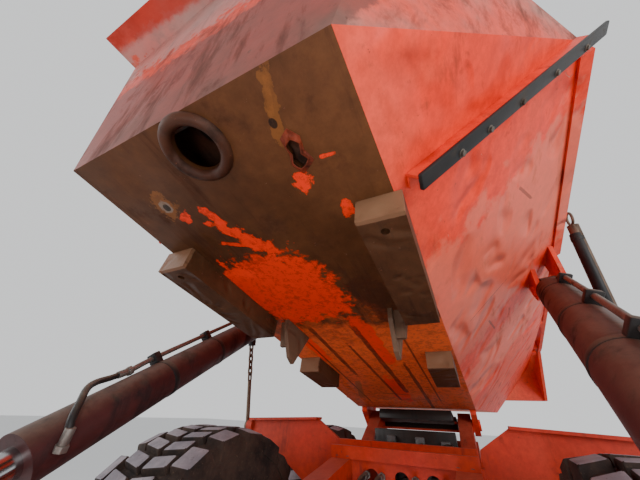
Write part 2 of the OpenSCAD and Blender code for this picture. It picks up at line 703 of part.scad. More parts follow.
module door_plate() translate([pivot_x, 0, 0]) difference() {
    box([door_x0 + move_gap, cab_w - cab_wall, cab_floor_z + 60 + move_gap], [door_x1 - move_gap, cab_w, roof_z - 160 - move_gap]);
    box([door_x0 + 90, cab_w - cab_wall - 5, 2250], [door_x1 - 90, cab_w + 5, roof_z - 250]);
}

module door_glass() color(CLEAR) translate([pivot_x, 0, 0])
    box([door_x0 + 90 + seat_gap, cab_w - 30, 2250 + seat_gap], [door_x1 - 90 - seat_gap, cab_w - 30 + glass_t, roof_z - 250 - seat_gap]);

// Steering cylinders between the front frame and the hitch
steer_from = [pivot_x + steer_base.x, steer_base.y, steer_z];
steer_to = [pivot_x + steer_eye.x, steer_eye.y, steer_z];
steer_barrel_l = 640;
steer_barrel_d = 100;
steer_rod_d = 56;

module steer_barrel() color(DARK) difference() {
    union() {
        aim(steer_from, steer_to) {
            translate([0, 0, 85]) cylinder(h = steer_barrel_l - 85, d = steer_barrel_d);
            translate([0, 0, 35]) cylinder(h = 60, d = 66);
        }
        translate(steer_from - [0, 0, 35]) cylinder(h = 70, d = 100);
    }
    translate(steer_from - [0, 0, 40]) cylinder(h = 80, d = steer_pin_d + run_gap * 2);
    aim(steer_from, steer_to) translate([0, 0, 90]) cylinder(h = steer_barrel_l, d = steer_rod_d + run_gap * 2);
}

module steer_rod() color(STEEL) {
    span = norm(steer_to - steer_from);
    aim(steer_from, steer_to) translate([0, 0, span - 580]) cylinder(h = 550, d = steer_rod_d);
    translate(steer_to - [0, 0, 30]) cylinder(h = 60, d = 90);
}

// Dump body. Its points are [x ahead of the hinge, w from the middle, z over the hinge].
tail_z = floor_z + (tail_start + tail_back) * tan(tail_rise);
lean = tan(front_lean);
crease_x = 2710;
front_knee_w = 640;
front_top_w = 850;
tail_w = 780;

// Half width of the floor's edge at a place x; the knee runs parallel to that edge
function floor_half(x) = floor_w_front + (floor_w_rear - floor_w_front) * (floor_front - x) / (floor_front - tail_start);
function knee_half(x) = side_w - floor_w_rear + floor_half(max(x, tail_start));
function top_at(x) = top_rear + (top_front - 10 - top_rear) * (x + tail_back) / (crease_x + 40 + tail_back);
// Height at [x, w] of the plane through three points
function plane_z(p, q, r, x, w) = let (n = cross(q - p, r - p)) p.z - (n.x * (x - p.x) + n.y * (w - p.y)) / n.z;

A = [floor_front, floor_w_front, floor_z];
B = [crease_x, knee_half(crease_x), knee_z];
C = [floor_front + (knee_z - floor_z) * lean, front_knee_w, knee_z];
D = [floor_front + (top_front - floor_z) * lean, front_top_w, top_front];
E = [crease_x + 40, knee_half(crease_x + 40), top_front - 10];
F = [tail_start, floor_w_rear, floor_z];
G = [tail_start, side_w, knee_z];
H = [-tail_back, tail_w, tail_z];
I = [-tail_back, side_w, plane_z(F, G, H, -tail_back, side_w)];
J = [-tail_back, side_w, top_rear];
K = [tail_start, side_w, top_at(tail_start)];

// The same points on the inner face of the plates
t = wall;
Ai = A + unit(F - A) * t * 0.9 + [0, -t * 0.4, t];
Bi = B + (Ai - A) - unit(B - A) * t * 0.7;
Ci = C + [-t * 1.1, -t * 0.5, 0];
Di = D + [-t * 1.1, -t * 0.5, 0];
Ei = E + (Bi - B);
Fi = F + [0, -t * 0.4, t];
Gi = G + [0, -t, t * 0.4];
Hi = H + [0, -t * 0.4, t];
Ii = I + [0, -t, t * 0.4];
Ji = J + [0, -t, 0];
Ki = K + [0, -t, 0];

function flip(p) = [p.x, -p.y, p.z];

seat_at = 95;
stud_x = 3055;
stud_w = 257;

module body_floor() color(BROWN) in_body() {
    difference() {
        panel([A, F, flip(F), flip(A)], [Ai, Fi, flip(Fi), flip(Ai)]);
        translate([floor_front - seat_at, 0, floor_z - 10]) cylinder(h = 40, d = ring_bore);
        translate([stud_x, stud_w, floor_z - 10]) linear_extrude(40)
            polygon([[-46, -12], [-20, -26], [4, -18], [38, -20], [52, 2], [30, 18], [2, 12], [-24, 22]]);
    }
    panel([F, H, flip(H), flip(F)], [Fi, Hi, flip(Hi), flip(Fi)]);
}

// Seat ring of the exhaust port under the floor, and the duct over it
module exhaust_port() color(BROWN) in_body() translate([floor_front - seat_at, 0, 0]) {
    bar = (ring_d - ring_bore) / 2;
    translate([0, 0, floor_z - seat_gap]) rotate_extrude() difference() {
        translate([ring_bore / 2 + bar / 2, 0]) circle(d = bar);
        translate([0, 0]) square([ring_d, bar]);
    }
    translate([0, 0, floor_z + wall + seat_gap]) difference() {
        box([-130, -150, 0], [60, 150, 130]);
        box([-122, -142, -1], [52, 142, 122]);
    }
}

// Long pads, horned guides and short pads that land on the rails
pad_in = rail_in - 6;
pad_w = 137;
guide_h = 190;
module body_pads() color(BROWN) in_body() both_sides() {
    difference() {
        box([2210, pad_in, floor_z - pad_t], [2849, pad_in + pad_w, floor_z - seat_gap]);
        translate([2790, pad_in + 70, floor_z - pad_t - 1]) cylinder(h = 60, d = 26);
    }
    box([1320, pad_in, floor_z - pad_t], [1675, pad_in + pad_w, floor_z - seat_gap]);
    across(pad_in - 74, pad_in - 54) guide_plate();
    across(pad_in - 54, pad_in - 14) polygon([
        [2190, floor_z - seat_gap], [2160, floor_z - 120], [2140, floor_z - 120], [2060, floor_z - seat_gap]
    ]);
}

module guide_plate() polygon([
    [1970, floor_z - seat_gap], [2010, floor_z - 60], [2095, floor_z - guide_h], [2140, floor_z - guide_h + 20],
    [2215, floor_z - 50], [2215, floor_z - seat_gap]
]);

module body_front() color(ORANGE) in_body() {
    folded_wall(
        [A, B, C, D, E, flip(A), flip(B), flip(C), flip(D), flip(E)],
        [Ai, Bi, Ci, Di, Ei, flip(Ai), flip(Bi), flip(Ci), flip(Di), flip(Ei)],
        [[3, 2, 7, 8], [2, 0, 5, 7], [0, 2, 1], [2, 3, 4, 1], [6, 7, 5], [6, 9, 8, 7]],
        [3, 4, 1, 0, 5, 6, 9, 8]
    );
    both_sides() fold_flange(fold_low, fold_high, flange_h);
    fold_flange(fold_high, flip(fold_high), flange_h);
}

// Flange that stands out from the front wall along its fold, from p to q
flange_h = 140;
fold_low = front_point(640, 850);
fold_high = front_point(187, 1117);
function front_point(w, z) = [floor_front + (z - floor_z) * lean, w, z];
front_out = [cos(front_lean), 0, -sin(front_lean)];

module fold_flange(p, q, h) {
    up = [sin(front_lean), 0, cos(front_lean)] * 12;
    low = [p - front_out * 5, q - front_out * 5, q + front_out * h, p + front_out * h];
    panel(low, [for (v = low) v + up]);
}

module body_side() folded_wall(
    [A, B, E, K, J, I, H, F, G], [Ai, Bi, Ei, Ki, Ji, Ii, Hi, Fi, Gi],
    [[0, 1, 8, 7], [7, 8, 5, 6], [1, 2, 3, 8], [8, 3, 4, 5]], [0, 1, 2, 3, 4, 5, 6, 7]
);

module body_side_left() color(ORANGE) in_body() body_side();
module body_side_right() color(ORANGE) in_body() mirror([0, 1, 0]) body_side();

function facet_z(x, w) = plane_z(A, B, F, x, w);

function tail_under(x) = floor_z + (tail_start - x) * tan(tail_rise);

rail_t = 60;
rail_top_h = 110;
lug_in = post_out + move_gap;
lug_t = 50;

// Hinge lugs with their pins, hoist brackets, knee rails, top rails and ribs
module body_frame() color(ORANGE) in_body() both_sides() {
    y_cyl(post_in - 10, lug_in + lug_t + 15, hinge_pin_d);
    across(lug_in, lug_in + lug_t) hull() {
        circle(d = hinge_pin_d + 80, $fn = 48);
        polygon([
            [-100, tail_under(-100) - 40], [-100, tail_under(-100) - seat_gap],
            [240, tail_under(240) - seat_gap], [240, tail_under(240) - 40]
        ]);
    }
    side_strip(1250, crease_x - 60, rail_t) polygon([[0, knee_z - 20], [rail_t, knee_z + 10], [rail_t, knee_z + rail_top_h], [0, knee_z + rail_top_h]]);
    for (x = [700, 1500, 2300])
        side_strip(x, x + 90, rail_t - 10) translate([0, knee_z + rail_top_h + seat_gap])
            square([rail_t - 10, top_at(x) - knee_z - rail_top_h - 80]);
    for (x = [-900, -100]) box([x, side_w + seat_gap, knee_z + 60], [x + 90, side_w + rail_t - 10, top_at(x) - 40]);
    gate_pivot();
    hoist_bracket();
}

// An outline [distance from the side, z], run along the side wall from x0 to x1
module side_strip(x0, x1, depth) {
    slant = atan2(knee_half(x0) - knee_half(x1), x1 - x0);
    translate([x0, knee_half(x0) + seat_gap, 0]) rotate([0, 0, -slant]) rotate([90, 0, 90])
        linear_extrude((x1 - x0) / cos(slant)) children();
}

// Two plates that carry the upper hoist pin under the lower side wall
hoist_gap = 66;
bracket_w = 110;
// Direction of the upper hoist pin: a cylinder that leans inwards turns about a leaning pin
hoist_turn = [0.037, 0.997, 0.066];
module hoist_bracket() {
    for (y = [hoist_w - hoist_gap - plate_t, hoist_w + hoist_gap])
        across(y, y + plate_t) polygon([
            [hoist_x - bracket_w, facet_z(hoist_x - bracket_w, y) - seat_gap], [hoist_x - 70, hoist_z - 20],
            [hoist_x - 40, hoist_z - 60], [hoist_x + 40, hoist_z - 60], [hoist_x + 70, hoist_z - 20],
            [hoist_x + bracket_w, facet_z(hoist_x + bracket_w, y) - seat_gap]
        ]);
    translate([hoist_x, hoist_w, hoist_z]) rotate([0, body_tilt, 0])
        along_pin(hoist_gap + plate_t + 15) cylinder(h = 2 * (hoist_gap + plate_t + 15), d = hoist_pin_d);
}

// Places children with their Z axis along the upper hoist pin, from a distance before its middle
module along_pin(back) aim([0, 0, 0], hoist_turn) translate([0, 0, -back]) children();

hoist_top = body_point(hoist_x, hoist_w, hoist_z);
hoist_low = [mid_x + foot_x, foot_w, foot_z];

// Start of the barrel's full width, behind its eye, so that it clears the bracket as it turns
barrel_from = 112;

module hoist_barrel() color(MAROON) difference() {
    union() {
        aim(hoist_top, hoist_low) {
            translate([0, 0, 40]) cylinder(h = barrel_from - 30, d = barrel_d / 2);
            translate([0, 0, barrel_from]) cylinder(h = barrel_l - barrel_from, d = barrel_d);
        }
        translate(hoist_top) along_pin(45) cylinder(h = 90, d = 150);
    }
    translate(hoist_top) along_pin(60) cylinder(h = 120, d = hoist_pin_d + run_gap * 2);
    aim(hoist_top, hoist_low) translate([0, 0, 140]) cylinder(h = barrel_l, d = hoist_rod_d + run_gap * 2);
}

rod_l = barrel_l - 100;

module hoist_rod() color(STEEL) {
    full = norm(hoist_low - hoist_top);
    difference() {
        union() {
            aim(hoist_top, hoist_low) translate([0, 0, full - rod_l - 60]) cylinder(h = rod_l, d = hoist_rod_d);
            translate(hoist_low) y_cyl(-45, 45, 140);
        }
        translate(hoist_low) y_cyl(-50, 50, hoist_pin_d);
    }
}

// Tailgate with its long arms, drawn closed round its pivot and then opened to its place at rest
arm_w = side_w + rail_t + move_gap;
arm_tip = [2119, 95];
arm_end = [
    arm_tip[0] * cos(gate_open) - arm_tip[1] * sin(gate_open), arm_tip[0] * sin(gate_open) + arm_tip[1] * cos(gate_open)
];

module tailgate() color(ORANGE) in_body() translate([-gate_back, 0, gate_z]) rotate([0, gate_open, 0]) {
    far = -(tail_back - gate_back) - move_gap;
    box([far - wall, -arm_w, gate_low], [far, arm_w, gate_top]);
    for (z = [gate_low, gate_top - 60, (gate_top + gate_low) / 2])
        box([gate_far, -arm_w, z], [far - wall, arm_w, z + 60]);
    both_sides() difference() {
        across(arm_w, arm_w + arm_t) polygon([
            [gate_far, gate_low], [far + 20, gate_low], [-60, -90], [60, -80], [arm_end[0], arm_end[1] - 60],
            [arm_end[0] + 50, arm_end[1] - 30], [arm_end[0] + 50, arm_end[1] + 30], [arm_end[0], arm_end[1] + 50],
            [0, 100], [gate_far, gate_top]
        ]);
        y_cyl(arm_w - 5, arm_w + arm_t + 5, gate_pin_d + run_gap * 2);
    }
    both_sides() translate([arm_end[0], 0, arm_end[1]]) y_cyl(arm_w, chain_w - 35 - move_gap, chain_pin_d * 3);
}

module gate_pivot() translate([-gate_back, 0, gate_z]) {
    y_cyl(side_w + seat_gap, arm_w - move_gap, gate_pin_d + 80);
    y_cyl(side_w + 2, arm_w + arm_t + 12, gate_pin_d);
}

// Chains from the outriggers to the ends of the tailgate's arms
chain_w = outrigger_w + move_gap + chain_bar / 2 + 2;
chain_pin_d = 30;
chain_low = [outrigger_x, chain_w, 1580];
chain_high = body_point(-gate_back + arm_tip[0], chain_w, gate_z + arm_tip[1]);
ring_r = 46;
ring_at = norm(chain_high - chain_low) - (ring_r - chain_bar / 2 - chain_pin_d / 2) + seat_gap;
sleeve_top = ring_at - ring_r - chain_bar / 2 + 2;
link_in = 56;
link_count = 6;

module chain_link() {
    for (s = [-1, 1]) translate([s * chain_bar, 0, 0]) cylinder(h = link_in - chain_bar, d = chain_bar, center = true);
    for (a = [0, 180]) rotate([0, a, 0]) translate([0, 0, (link_in - chain_bar) / 2]) rotate([90, 0, 0])
        rotate_extrude(angle = 180) translate([chain_bar, 0]) circle(d = chain_bar, $fn = 24);
}

module chains() color(STEEL) both_sides() {
    aim(chain_low, chain_high) {
        for (i = [1:link_count])
            translate([0, 0, sleeve_top - 640 - i * (link_in + 0.4) + 18]) rotate([0, 0, 90 * (i % 2)]) chain_link();
        translate([0, 0, sleeve_top - 640]) cylinder(h = 640, d = 70);
        translate([0, 0, 24]) cylinder(h = sleeve_top - 640 - link_count * (link_in + 0.4) - 40, d = 36);
        translate([0, 0, ring_at]) rotate([90, 0, 0]) rotate_extrude() translate([ring_r, 0]) circle(d = chain_bar);
    }
    translate([chain_low.x, 0, chain_low.z]) y_ring(chain_w - 9, chain_w + 9, 72, chain_pin_d + run_gap * 2);
}

module tyre_at(x, side) at_wheel(x, side) tyre();
module rim_at(x, side) at_wheel(x, side) rim();

front_frame();
front_axle();
engine_block();
bumper();
front_decks();
steps_and_tanks();
cab_shell();
cab_roof();
cab_glass();
cab_seat();
cab_console();
mirrors();
hood();
grille();
cab_door();
door_glass();
hitch();
steer_barrel();  // steer_barrel_left
mirror([0, 1, 0]) steer_barrel();  // steer_barrel_right
steer_rod();  // steer_rod_left
mirror([0, 1, 0]) steer_rod();  // steer_rod_right
rear_frame();
hoist_feet();
cross_beam();
outriggers();
bogie_beams();
bogie_axles();
tyre_at(front_x, 1);  // tyre_front_left
tyre_at(front_x, -1);  // tyre_front_right
tyre_at(mid_x, 1);  // tyre_mid_left
tyre_at(mid_x, -1);  // tyre_mid_right
tyre_at(rear_x, 1);  // tyre_rear_left
tyre_at(rear_x, -1);  // tyre_rear_right
rim_at(front_x, 1);  // rim_front_left
rim_at(front_x, -1);  // rim_front_right
rim_at(mid_x, 1);  // rim_mid_left
rim_at(mid_x, -1);  // rim_mid_right
rim_at(rear_x, 1);  // rim_rear_left
rim_at(rear_x, -1);  // rim_rear_right
body_floor();
body_pads();
exhaust_port();
body_front();
body_side_left();
body_side_right();
body_frame();
hoist_barrel();  // hoist_barrel_left
mirror([0, 1, 0]) hoist_barrel();  // hoist_barrel_right
hoist_rod();  // hoist_rod_left
mirror([0, 1, 0]) hoist_rod();  // hoist_rod_right
tailgate();
chains();
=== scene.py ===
import math

import bmesh
import bpy
from mathutils import Matrix, Vector


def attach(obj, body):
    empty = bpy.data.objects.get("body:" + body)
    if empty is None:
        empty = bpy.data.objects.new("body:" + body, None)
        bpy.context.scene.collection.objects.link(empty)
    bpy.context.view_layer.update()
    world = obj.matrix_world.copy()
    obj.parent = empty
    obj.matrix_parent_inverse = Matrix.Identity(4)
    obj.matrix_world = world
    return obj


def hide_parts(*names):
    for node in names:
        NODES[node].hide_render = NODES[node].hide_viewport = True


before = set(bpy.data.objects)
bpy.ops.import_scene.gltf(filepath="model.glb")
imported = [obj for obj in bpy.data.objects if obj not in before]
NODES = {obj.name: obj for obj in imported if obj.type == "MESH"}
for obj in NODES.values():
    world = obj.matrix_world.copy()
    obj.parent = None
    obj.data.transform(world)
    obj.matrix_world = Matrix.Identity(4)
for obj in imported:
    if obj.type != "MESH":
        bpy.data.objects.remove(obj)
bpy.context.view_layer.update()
bpy.ops.object.select_all(action="DESELECT")

# Places that part.scad works out, in metres
MID_X = -1.80546
FRONT_X = 2.36154
REAR_X = -3.47546
PIVOT_X = 1.06154
NOSE_X = 5.12554
HINGE = Vector((-3.43546, 0, 1.66))
TILT = math.radians(10.2)
FRAME_DROP = math.radians(9.8)
TYRE_R = 0.8
TYRE_W = 0.6
TRACK = 2.258
BODY = Matrix.Translation(HINGE) @ Matrix.Rotation(-TILT, 4, "Y")
REAR = Matrix.Translation(HINGE) @ Matrix.Rotation(FRAME_DROP, 4, "Y")
HOIST_TOP = BODY @ Vector((1.335, 1.15, 0.56))
HOIST_LOW = Vector((MID_X + 1.7, 0.72, 1.22))
MIRROR = Matrix.Scale(-1, 4, (0, 1, 0))
SIDES = ((1, "left"), (-1, "right"))
ROWS = (("front", FRONT_X), ("mid", MID_X), ("rear", REAR_X))
WHEELS = [(f"{row}_{label}", x, side) for row, x in ROWS for side, label in SIDES]


def new_object(name, data):
    """An object that holds the data, linked into the scene."""
    made = bpy.data.objects.new(name, data)
    bpy.context.scene.collection.objects.link(made)
    return made


# Camera at the photograph's real viewpoint, between the tractor and the body
camera = new_object("camera", bpy.data.cameras.new("camera"))
camera.data.sensor_width = 36
camera.data.lens = 15.161
camera.data.clip_start = 0.02
eye = Vector((-0.05433, 0.53002, 1.68249))
right = Vector((-0.43833, 0.89807, 0.03748))
up = Vector((0.50378, 0.21102, 0.83756))
look = Vector((-0.74416, -0.38614, 0.54496))
camera.matrix_world = Matrix.Translation(eye) @ Matrix((right, up, -look)).transposed().to_4x4()
bpy.context.scene.camera = camera


# Node helpers
def filled(tree, made, values):
    """Sets or links a node's inputs from a table, and gives the node back."""
    for key, value in (values or {}).items():
        if isinstance(value, bpy.types.NodeSocket):
            tree.links.new(value, made.inputs[key])
        else:
            made.inputs[key].default_value = value
    return made


def node(tree, kind, values=None, **settings):
    made = tree.nodes.new(kind)
    for key, value in settings.items():
        setattr(made, key, value)
    return filled(tree, made, values)


def noise(tree, vector, scale, detail=4.0, rough=0.6):
    values = {"Vector": vector, "Scale": scale, "Detail": detail, "Roughness": rough}
    return node(tree, "ShaderNodeTexNoise", values).outputs["Fac"]


def ramp(tree, value, low, high, out_low=0.0, out_high=1.0, kind="SMOOTHSTEP"):
    made = node(tree, "ShaderNodeMapRange", {
        "Value": value, "From Min": low, "From Max": high, "To Min": out_low, "To Max": out_high,
    }, interpolation_type=kind)
    return made.outputs["Result"]


def maths(tree, operation, a, b=0.0, clamp=False):
    made = node(tree, "ShaderNodeMath", {0: a, 1: b}, operation=operation, use_clamp=clamp)
    return made.outputs[0]


def times(tree, a, b):
    return maths(tree, "MULTIPLY", a, b)


def minus(tree, a, b):
    return maths(tree, "SUBTRACT", a, b)


def mix(tree, mask, a, b):
    made = node(tree, "ShaderNodeMix", {0: mask, 6: a, 7: b}, data_type="RGBA")
    return made.outputs[2]


def group(name, inputs, outputs):
    tree = bpy.data.node_groups.new(name, "ShaderNodeTree")
    for label, kind, value in inputs:
        socket = tree.interface.new_socket(label, in_out="INPUT", socket_type="NodeSocket" + kind)
        if value is not None:
            socket.default_value = value
    for label, kind in outputs:
        tree.interface.new_socket(label, in_out="OUTPUT", socket_type="NodeSocket" + kind)
    return tree, tree.nodes.new("NodeGroupInput").outputs, tree.nodes.new("NodeGroupOutput").inputs


def linked(tree, pairs):
    for a, b in pairs:
        tree.links.new(a, b)


# Weathered: a base colour with fading, dirt in streaks, chips and dust on upward faces
def weathered_group():
    tree, given, out = group("weathered", [
        ("Place", "Vector", None), ("Base", "Color", (0.5, 0.1, 0.05, 1)), ("Faded", "Color", (0.6, 0.2, 0.1, 1)),
        ("Dirt", "Color", (0.1, 0.08, 0.06, 1)), ("Bare", "Color", (0.15, 0.08, 0.05, 1)),
        ("Dust", "Color", (0.4, 0.35, 0.3, 1)), ("Fade", "Float", 0.5), ("Grime", "Float", 0.4),
        ("Chips", "Float", 0.3), ("Dust cover", "Float", 0.3), ("Streak", "Vector", (6, 6, 1)),
        ("Low roughness", "Float", 0.45), ("High roughness", "Float", 0.85),
    ], [("Colour", "Color"), ("Roughness", "Float"), ("Height", "Float")])
    place = given["Place"]
    drawn = node(tree, "ShaderNodeVectorMath", {0: place, 1: given["Streak"]}, operation="MULTIPLY").outputs[0]
    broad = noise(tree, place, 1.7, 5)
    fine = noise(tree, place, 22, 8, 0.7)
    streaks = noise(tree, drawn, 1.6, 9, 0.65)
    blotch = noise(tree, place, 6.5, 9, 0.7)
    fade = times(tree, ramp(tree, broad, 0.38, 0.66), given["Fade"])
    colour = mix(tree, fade, given["Base"], given["Faded"])
    level = minus(tree, 0.78, times(tree, given["Grime"], 0.46))
    top = maths(tree, "ADD", level, 0.16)
    worst = maths(tree, "MAXIMUM", streaks, minus(tree, blotch, 0.04))
    dirt = ramp(tree, worst, level, top, kind="LINEAR")
    colour = mix(tree, times(tree, dirt, 0.85), colour, given["Dirt"])
    chip_level = minus(tree, 0.74, times(tree, given["Chips"], 0.2))
    spots = noise(tree, place, 34, 5, 0.75)
    chip = ramp(tree, spots, chip_level, maths(tree, "ADD", chip_level, 0.02), kind="LINEAR")
    colour = mix(tree, chip, colour, given["Bare"])
    normal = node(tree, "ShaderNodeTexCoord").outputs["Normal"]
    height = node(tree, "ShaderNodeSeparateXYZ", {0: normal}).outputs["Z"]
    upward = times(tree, ramp(tree, height, 0.35, 0.95), ramp(tree, fine, 0.2, 0.6, 0.5, 1.0))
    dust = times(tree, upward, given["Dust cover"])
    colour = mix(tree, dust, colour, given["Dust"])
    tone = node(tree, "ShaderNodeHueSaturation", {
        "Value": ramp(tree, fine, 0.25, 0.75, 0.82, 1.16), "Color": colour,
    }).outputs[0]
    worn = maths(tree, "MAXIMUM", maths(tree, "MAXIMUM", dirt, dust), times(tree, fade, 0.6))
    rough = ramp(tree, worn, 0.0, 1.0, given["Low roughness"], given["High roughness"], "LINEAR")
    relief = minus(tree, times(tree, fine, 0.5), times(tree, chip, 0.6))
    linked(tree, [(tone, out["Colour"]), (rough, out["Roughness"]), (relief, out["Height"])])
    return tree


# Body place: the place on the dump body, measured from its hinge along its own floor
def body_place_group():
    tree, given, out = group("body place", [], [("Place", "Vector")])
    here = node(tree, "ShaderNodeTexCoord").outputs["Object"]
    turned = node(tree, "ShaderNodeMapping", {
        "Vector": here, "Location": HINGE, "Rotation": (0, -TILT, 0),
    }, vector_type="TEXTURE").outputs[0]
    linked(tree, [(turned, out["Place"])])
    return tree


# Mark: a ragged patch, round at sharpness 2 and square-ended above it
def mark_group():
    tree, given, out = group("mark", [
        ("Place", "Vector", None), ("Centre", "Vector", (0, 0, 0)), ("Turn", "Vector", (0, 0, 0)),
        ("Half size", "Vector", (0.1, 0.1, 1)), ("Sharpness", "Float", 2.0), ("Ragged", "Float", 0.3),
        ("Grain", "Float", 30.0), ("Flecks", "Float", 0.0),
    ], [("Mask", "Float")])
    local = node(tree, "ShaderNodeMapping", {
        "Vector": given["Place"], "Location": given["Centre"], "Rotation": given["Turn"],
        "Scale": given["Half size"],
    }, vector_type="TEXTURE").outputs[0]
    parts = node(tree, "ShaderNodeSeparateXYZ", {0: local}).outputs
    total = 0.0
    for axis in "XY":
        size = maths(tree, "ABSOLUTE", parts[axis])
        total = maths(tree, "ADD", maths(tree, "POWER", size, given["Sharpness"]), total)
    reach = maths(tree, "POWER", total, maths(tree, "DIVIDE", 1.0, given["Sharpness"]))
    rough = minus(tree, noise(tree, given["Place"], given["Grain"], 6, 0.65), 0.5)
    edge = maths(tree, "ADD", reach, times(tree, rough, given["Ragged"]))
    worn = ramp(tree, noise(tree, given["Place"], 30, 9, 0.8), 0.47, 0.6)
    kept = minus(tree, 1.0, times(tree, worn, given["Flecks"]))
    linked(tree, [(times(tree, ramp(tree, edge, 1.05, 0.85), kept), out["Mask"])])
    return tree


# Dents: soft knocks and long scratches in plate, as a height
def dents_group():
    tree, given, out = group("dents", [
        ("Place", "Vector", None), ("Size", "Float", 3.0), ("Depth", "Float", 1.0), ("Scratches", "Float", 0.5),
        ("Across", "Vector", (1, 9, 9)),
    ], [("Height", "Float"), ("Scratch mask", "Float")])
    wobble = node(tree, "ShaderNodeTexNoise", {"Vector": given["Place"], "Scale": 2.0, "Detail": 2.0})
    moved = node(tree, "ShaderNodeVectorMath", {
        0: given["Place"], 1: wobble.outputs["Color"],
    }, operation="ADD").outputs[0]
    cells = node(tree, "ShaderNodeTexVoronoi", {
        "Vector": moved, "Scale": given["Size"], "Smoothness": 0.8,
    }, feature="SMOOTH_F1").outputs["Distance"]
    bowl = times(tree, ramp(tree, cells, 0.05, 0.5), given["Depth"])
    drawn = node(tree, "ShaderNodeVectorMath", {0: moved, 1: given["Across"]}, operation="MULTIPLY").outputs[0]
    lines = noise(tree, drawn, 3.2, 7, 0.75)
    scratch = times(tree, ramp(tree, lines, 0.66, 0.7), given["Scratches"])
    height = minus(tree, bowl, times(tree, scratch, 0.12))
    linked(tree, [(height, out["Height"]), (scratch, out["Scratch mask"])])
    return tree


GROUPS = {
    "weathered": weathered_group(), "body place": body_place_group(), "mark": mark_group(), "dents": dents_group(),
}


def use(tree, name, values=None):
    made = tree.nodes.new("ShaderNodeGroup")
    made.node_tree = GROUPS[name]
    return filled(tree, made, values).outputs


def rgb(r, g, b):
    """Screen colour 0 to 255 as the linear colour that a material holds."""
    return tuple(((c / 255 + 0.055) / 1.055) ** 2.4 if c > 10 else c / 255 / 12.92 for c in (r, g, b)) + (1.0,)


def finish_for(name, metallic=0.0, specular=0.5):
    material = bpy.data.materials.new(name)
    material.use_nodes = True
    tree = material.node_tree
    shader = filled(tree, tree.nodes["Principled BSDF"], {"Metallic": metallic, "Specular IOR Level": specular})
    return material, tree, shader


def bump(tree, shader, height, distance, strength=0.6):
    made = node(tree, "ShaderNodeBump", {"Height": height, "Distance": distance, "Strength": strength})
    tree.links.new(made.outputs[0], shader.inputs["Normal"])


RUST = rgb(96, 52, 34)
SOIL = rgb(120, 104, 86)


def weathered(name, base, faded, dirt, fade, grime, chips, dust_cover,
              metallic=0.0, specular=0.4, relief=0.002, rough=(0.45, 0.85)):
    material, tree, shader = finish_for(name, metallic, specular)
    made = use(tree, "weathered", {
        "Place": node(tree, "ShaderNodeTexCoord").outputs["Object"], "Base": rgb(*base), "Faded": rgb(*faded),
        "Dirt": rgb(*dirt), "Bare": RUST, "Dust": SOIL, "Fade": fade, "Grime": grime, "Chips": chips,
        "Dust cover": dust_cover, "Low roughness": rough[0], "High roughness": rough[1],
    })
    filled(tree, shader, {"Base Color": made["Colour"], "Roughness": made["Roughness"]})
    bump(tree, shader, made["Height"], relief)
    return material


# Name, base, faded and dirt colours, then fade, grime, chips, dust cover and what else differs
DARK_DIRT = (48, 36, 28)
WEATHERED = {
    "orange": ("orange_paint", (226, 66, 32), (226, 104, 78), (74, 48, 36), 0.55, 0.35, 0.3, 0.45, {}),
    "frame_orange": ("frame_paint", (196, 46, 22), (176, 66, 42), DARK_DIRT, 0.5, 0.42, 0.35, 0.35,
                     {"specular": 0.3}),
    "frame_dark": ("chassis_paint", (46, 45, 46), (74, 71, 68), (34, 28, 24), 0.6, 0.5, 0.3, 0.6, {}),
    "deck_dark": ("deck_paint", (52, 51, 52), (84, 80, 76), (40, 34, 30), 0.5, 0.4, 0.2, 0.6, {}),
    "axle_grey": ("axle_casting", (92, 88, 84), (112, 104, 96), DARK_DIRT, 0.6, 0.65, 0.3, 0.8, {}),
    "engine_grey": ("engine_casting", (84, 84, 86), (104, 100, 96), (30, 26, 24), 0.5, 0.6, 0.2, 0.4, {}),
    "seat": ("seat_cloth", (40, 40, 44), (58, 58, 62), (30, 28, 26), 0.5, 0.1, 0.0, 0.1, {"specular": 0.2}),
    "plastic": ("black_plastic", (34, 34, 36), (58, 57, 58), (40, 36, 32), 0.4, 0.3, 0.0, 0.4,
                {"rough": (0.35, 0.7)}),
    "maroon": ("barrel_paint", (58, 24, 25), (84, 42, 40), (24, 19, 20), 0.5, 0.6, 0.3, 0.5, {}),
    "chrome_rod": ("chrome_rod", (190, 190, 192), (170, 168, 166), (70, 62, 54), 0.3, 0.25, 0.0, 0.3,
                   {"metallic": 1.0, "rough": (0.16, 0.5), "relief": 0.0003}),
    "chain_steel": ("chain_steel", (104, 84, 70), (132, 112, 94), (58, 40, 32), 0.6, 0.5, 0.4, 0.4,
                    {"metallic": 0.5}),
    "hose": ("hose_rubber", (28, 28, 29), (54, 50, 47), (70, 60, 50), 0.5, 0.45, 0.0, 0.6, {"specular": 0.3}),
    "bolt": ("bolt_steel", (96, 88, 80), (120, 108, 96), (52, 38, 30), 0.5, 0.5, 0.3, 0.5, {"metallic": 0.6}),
    "pipe": ("pipe_steel", (132, 128, 122), (110, 104, 98), (56, 44, 36), 0.5, 0.5, 0.2, 0.5, {"metallic": 0.7}),
    "grease": ("greasy_plate", (28, 22, 20), (50, 38, 30), (16, 13, 12), 0.5, 0.6, 0.0, 0.35,
               {"rough": (0.3, 0.7)}),
    "mirror_glass": ("mirror_glass", (212, 216, 218), (190, 192, 190), (140, 132, 120), 0.3, 0.1, 0.0, 0.1,
                     {"metallic": 1.0, "rough": (0.05, 0.3), "relief": 0.0002}),
}
MATERIALS = {key: weathered(*row[:-1], **row[-1]) for key, row in WEATHERED.items()}


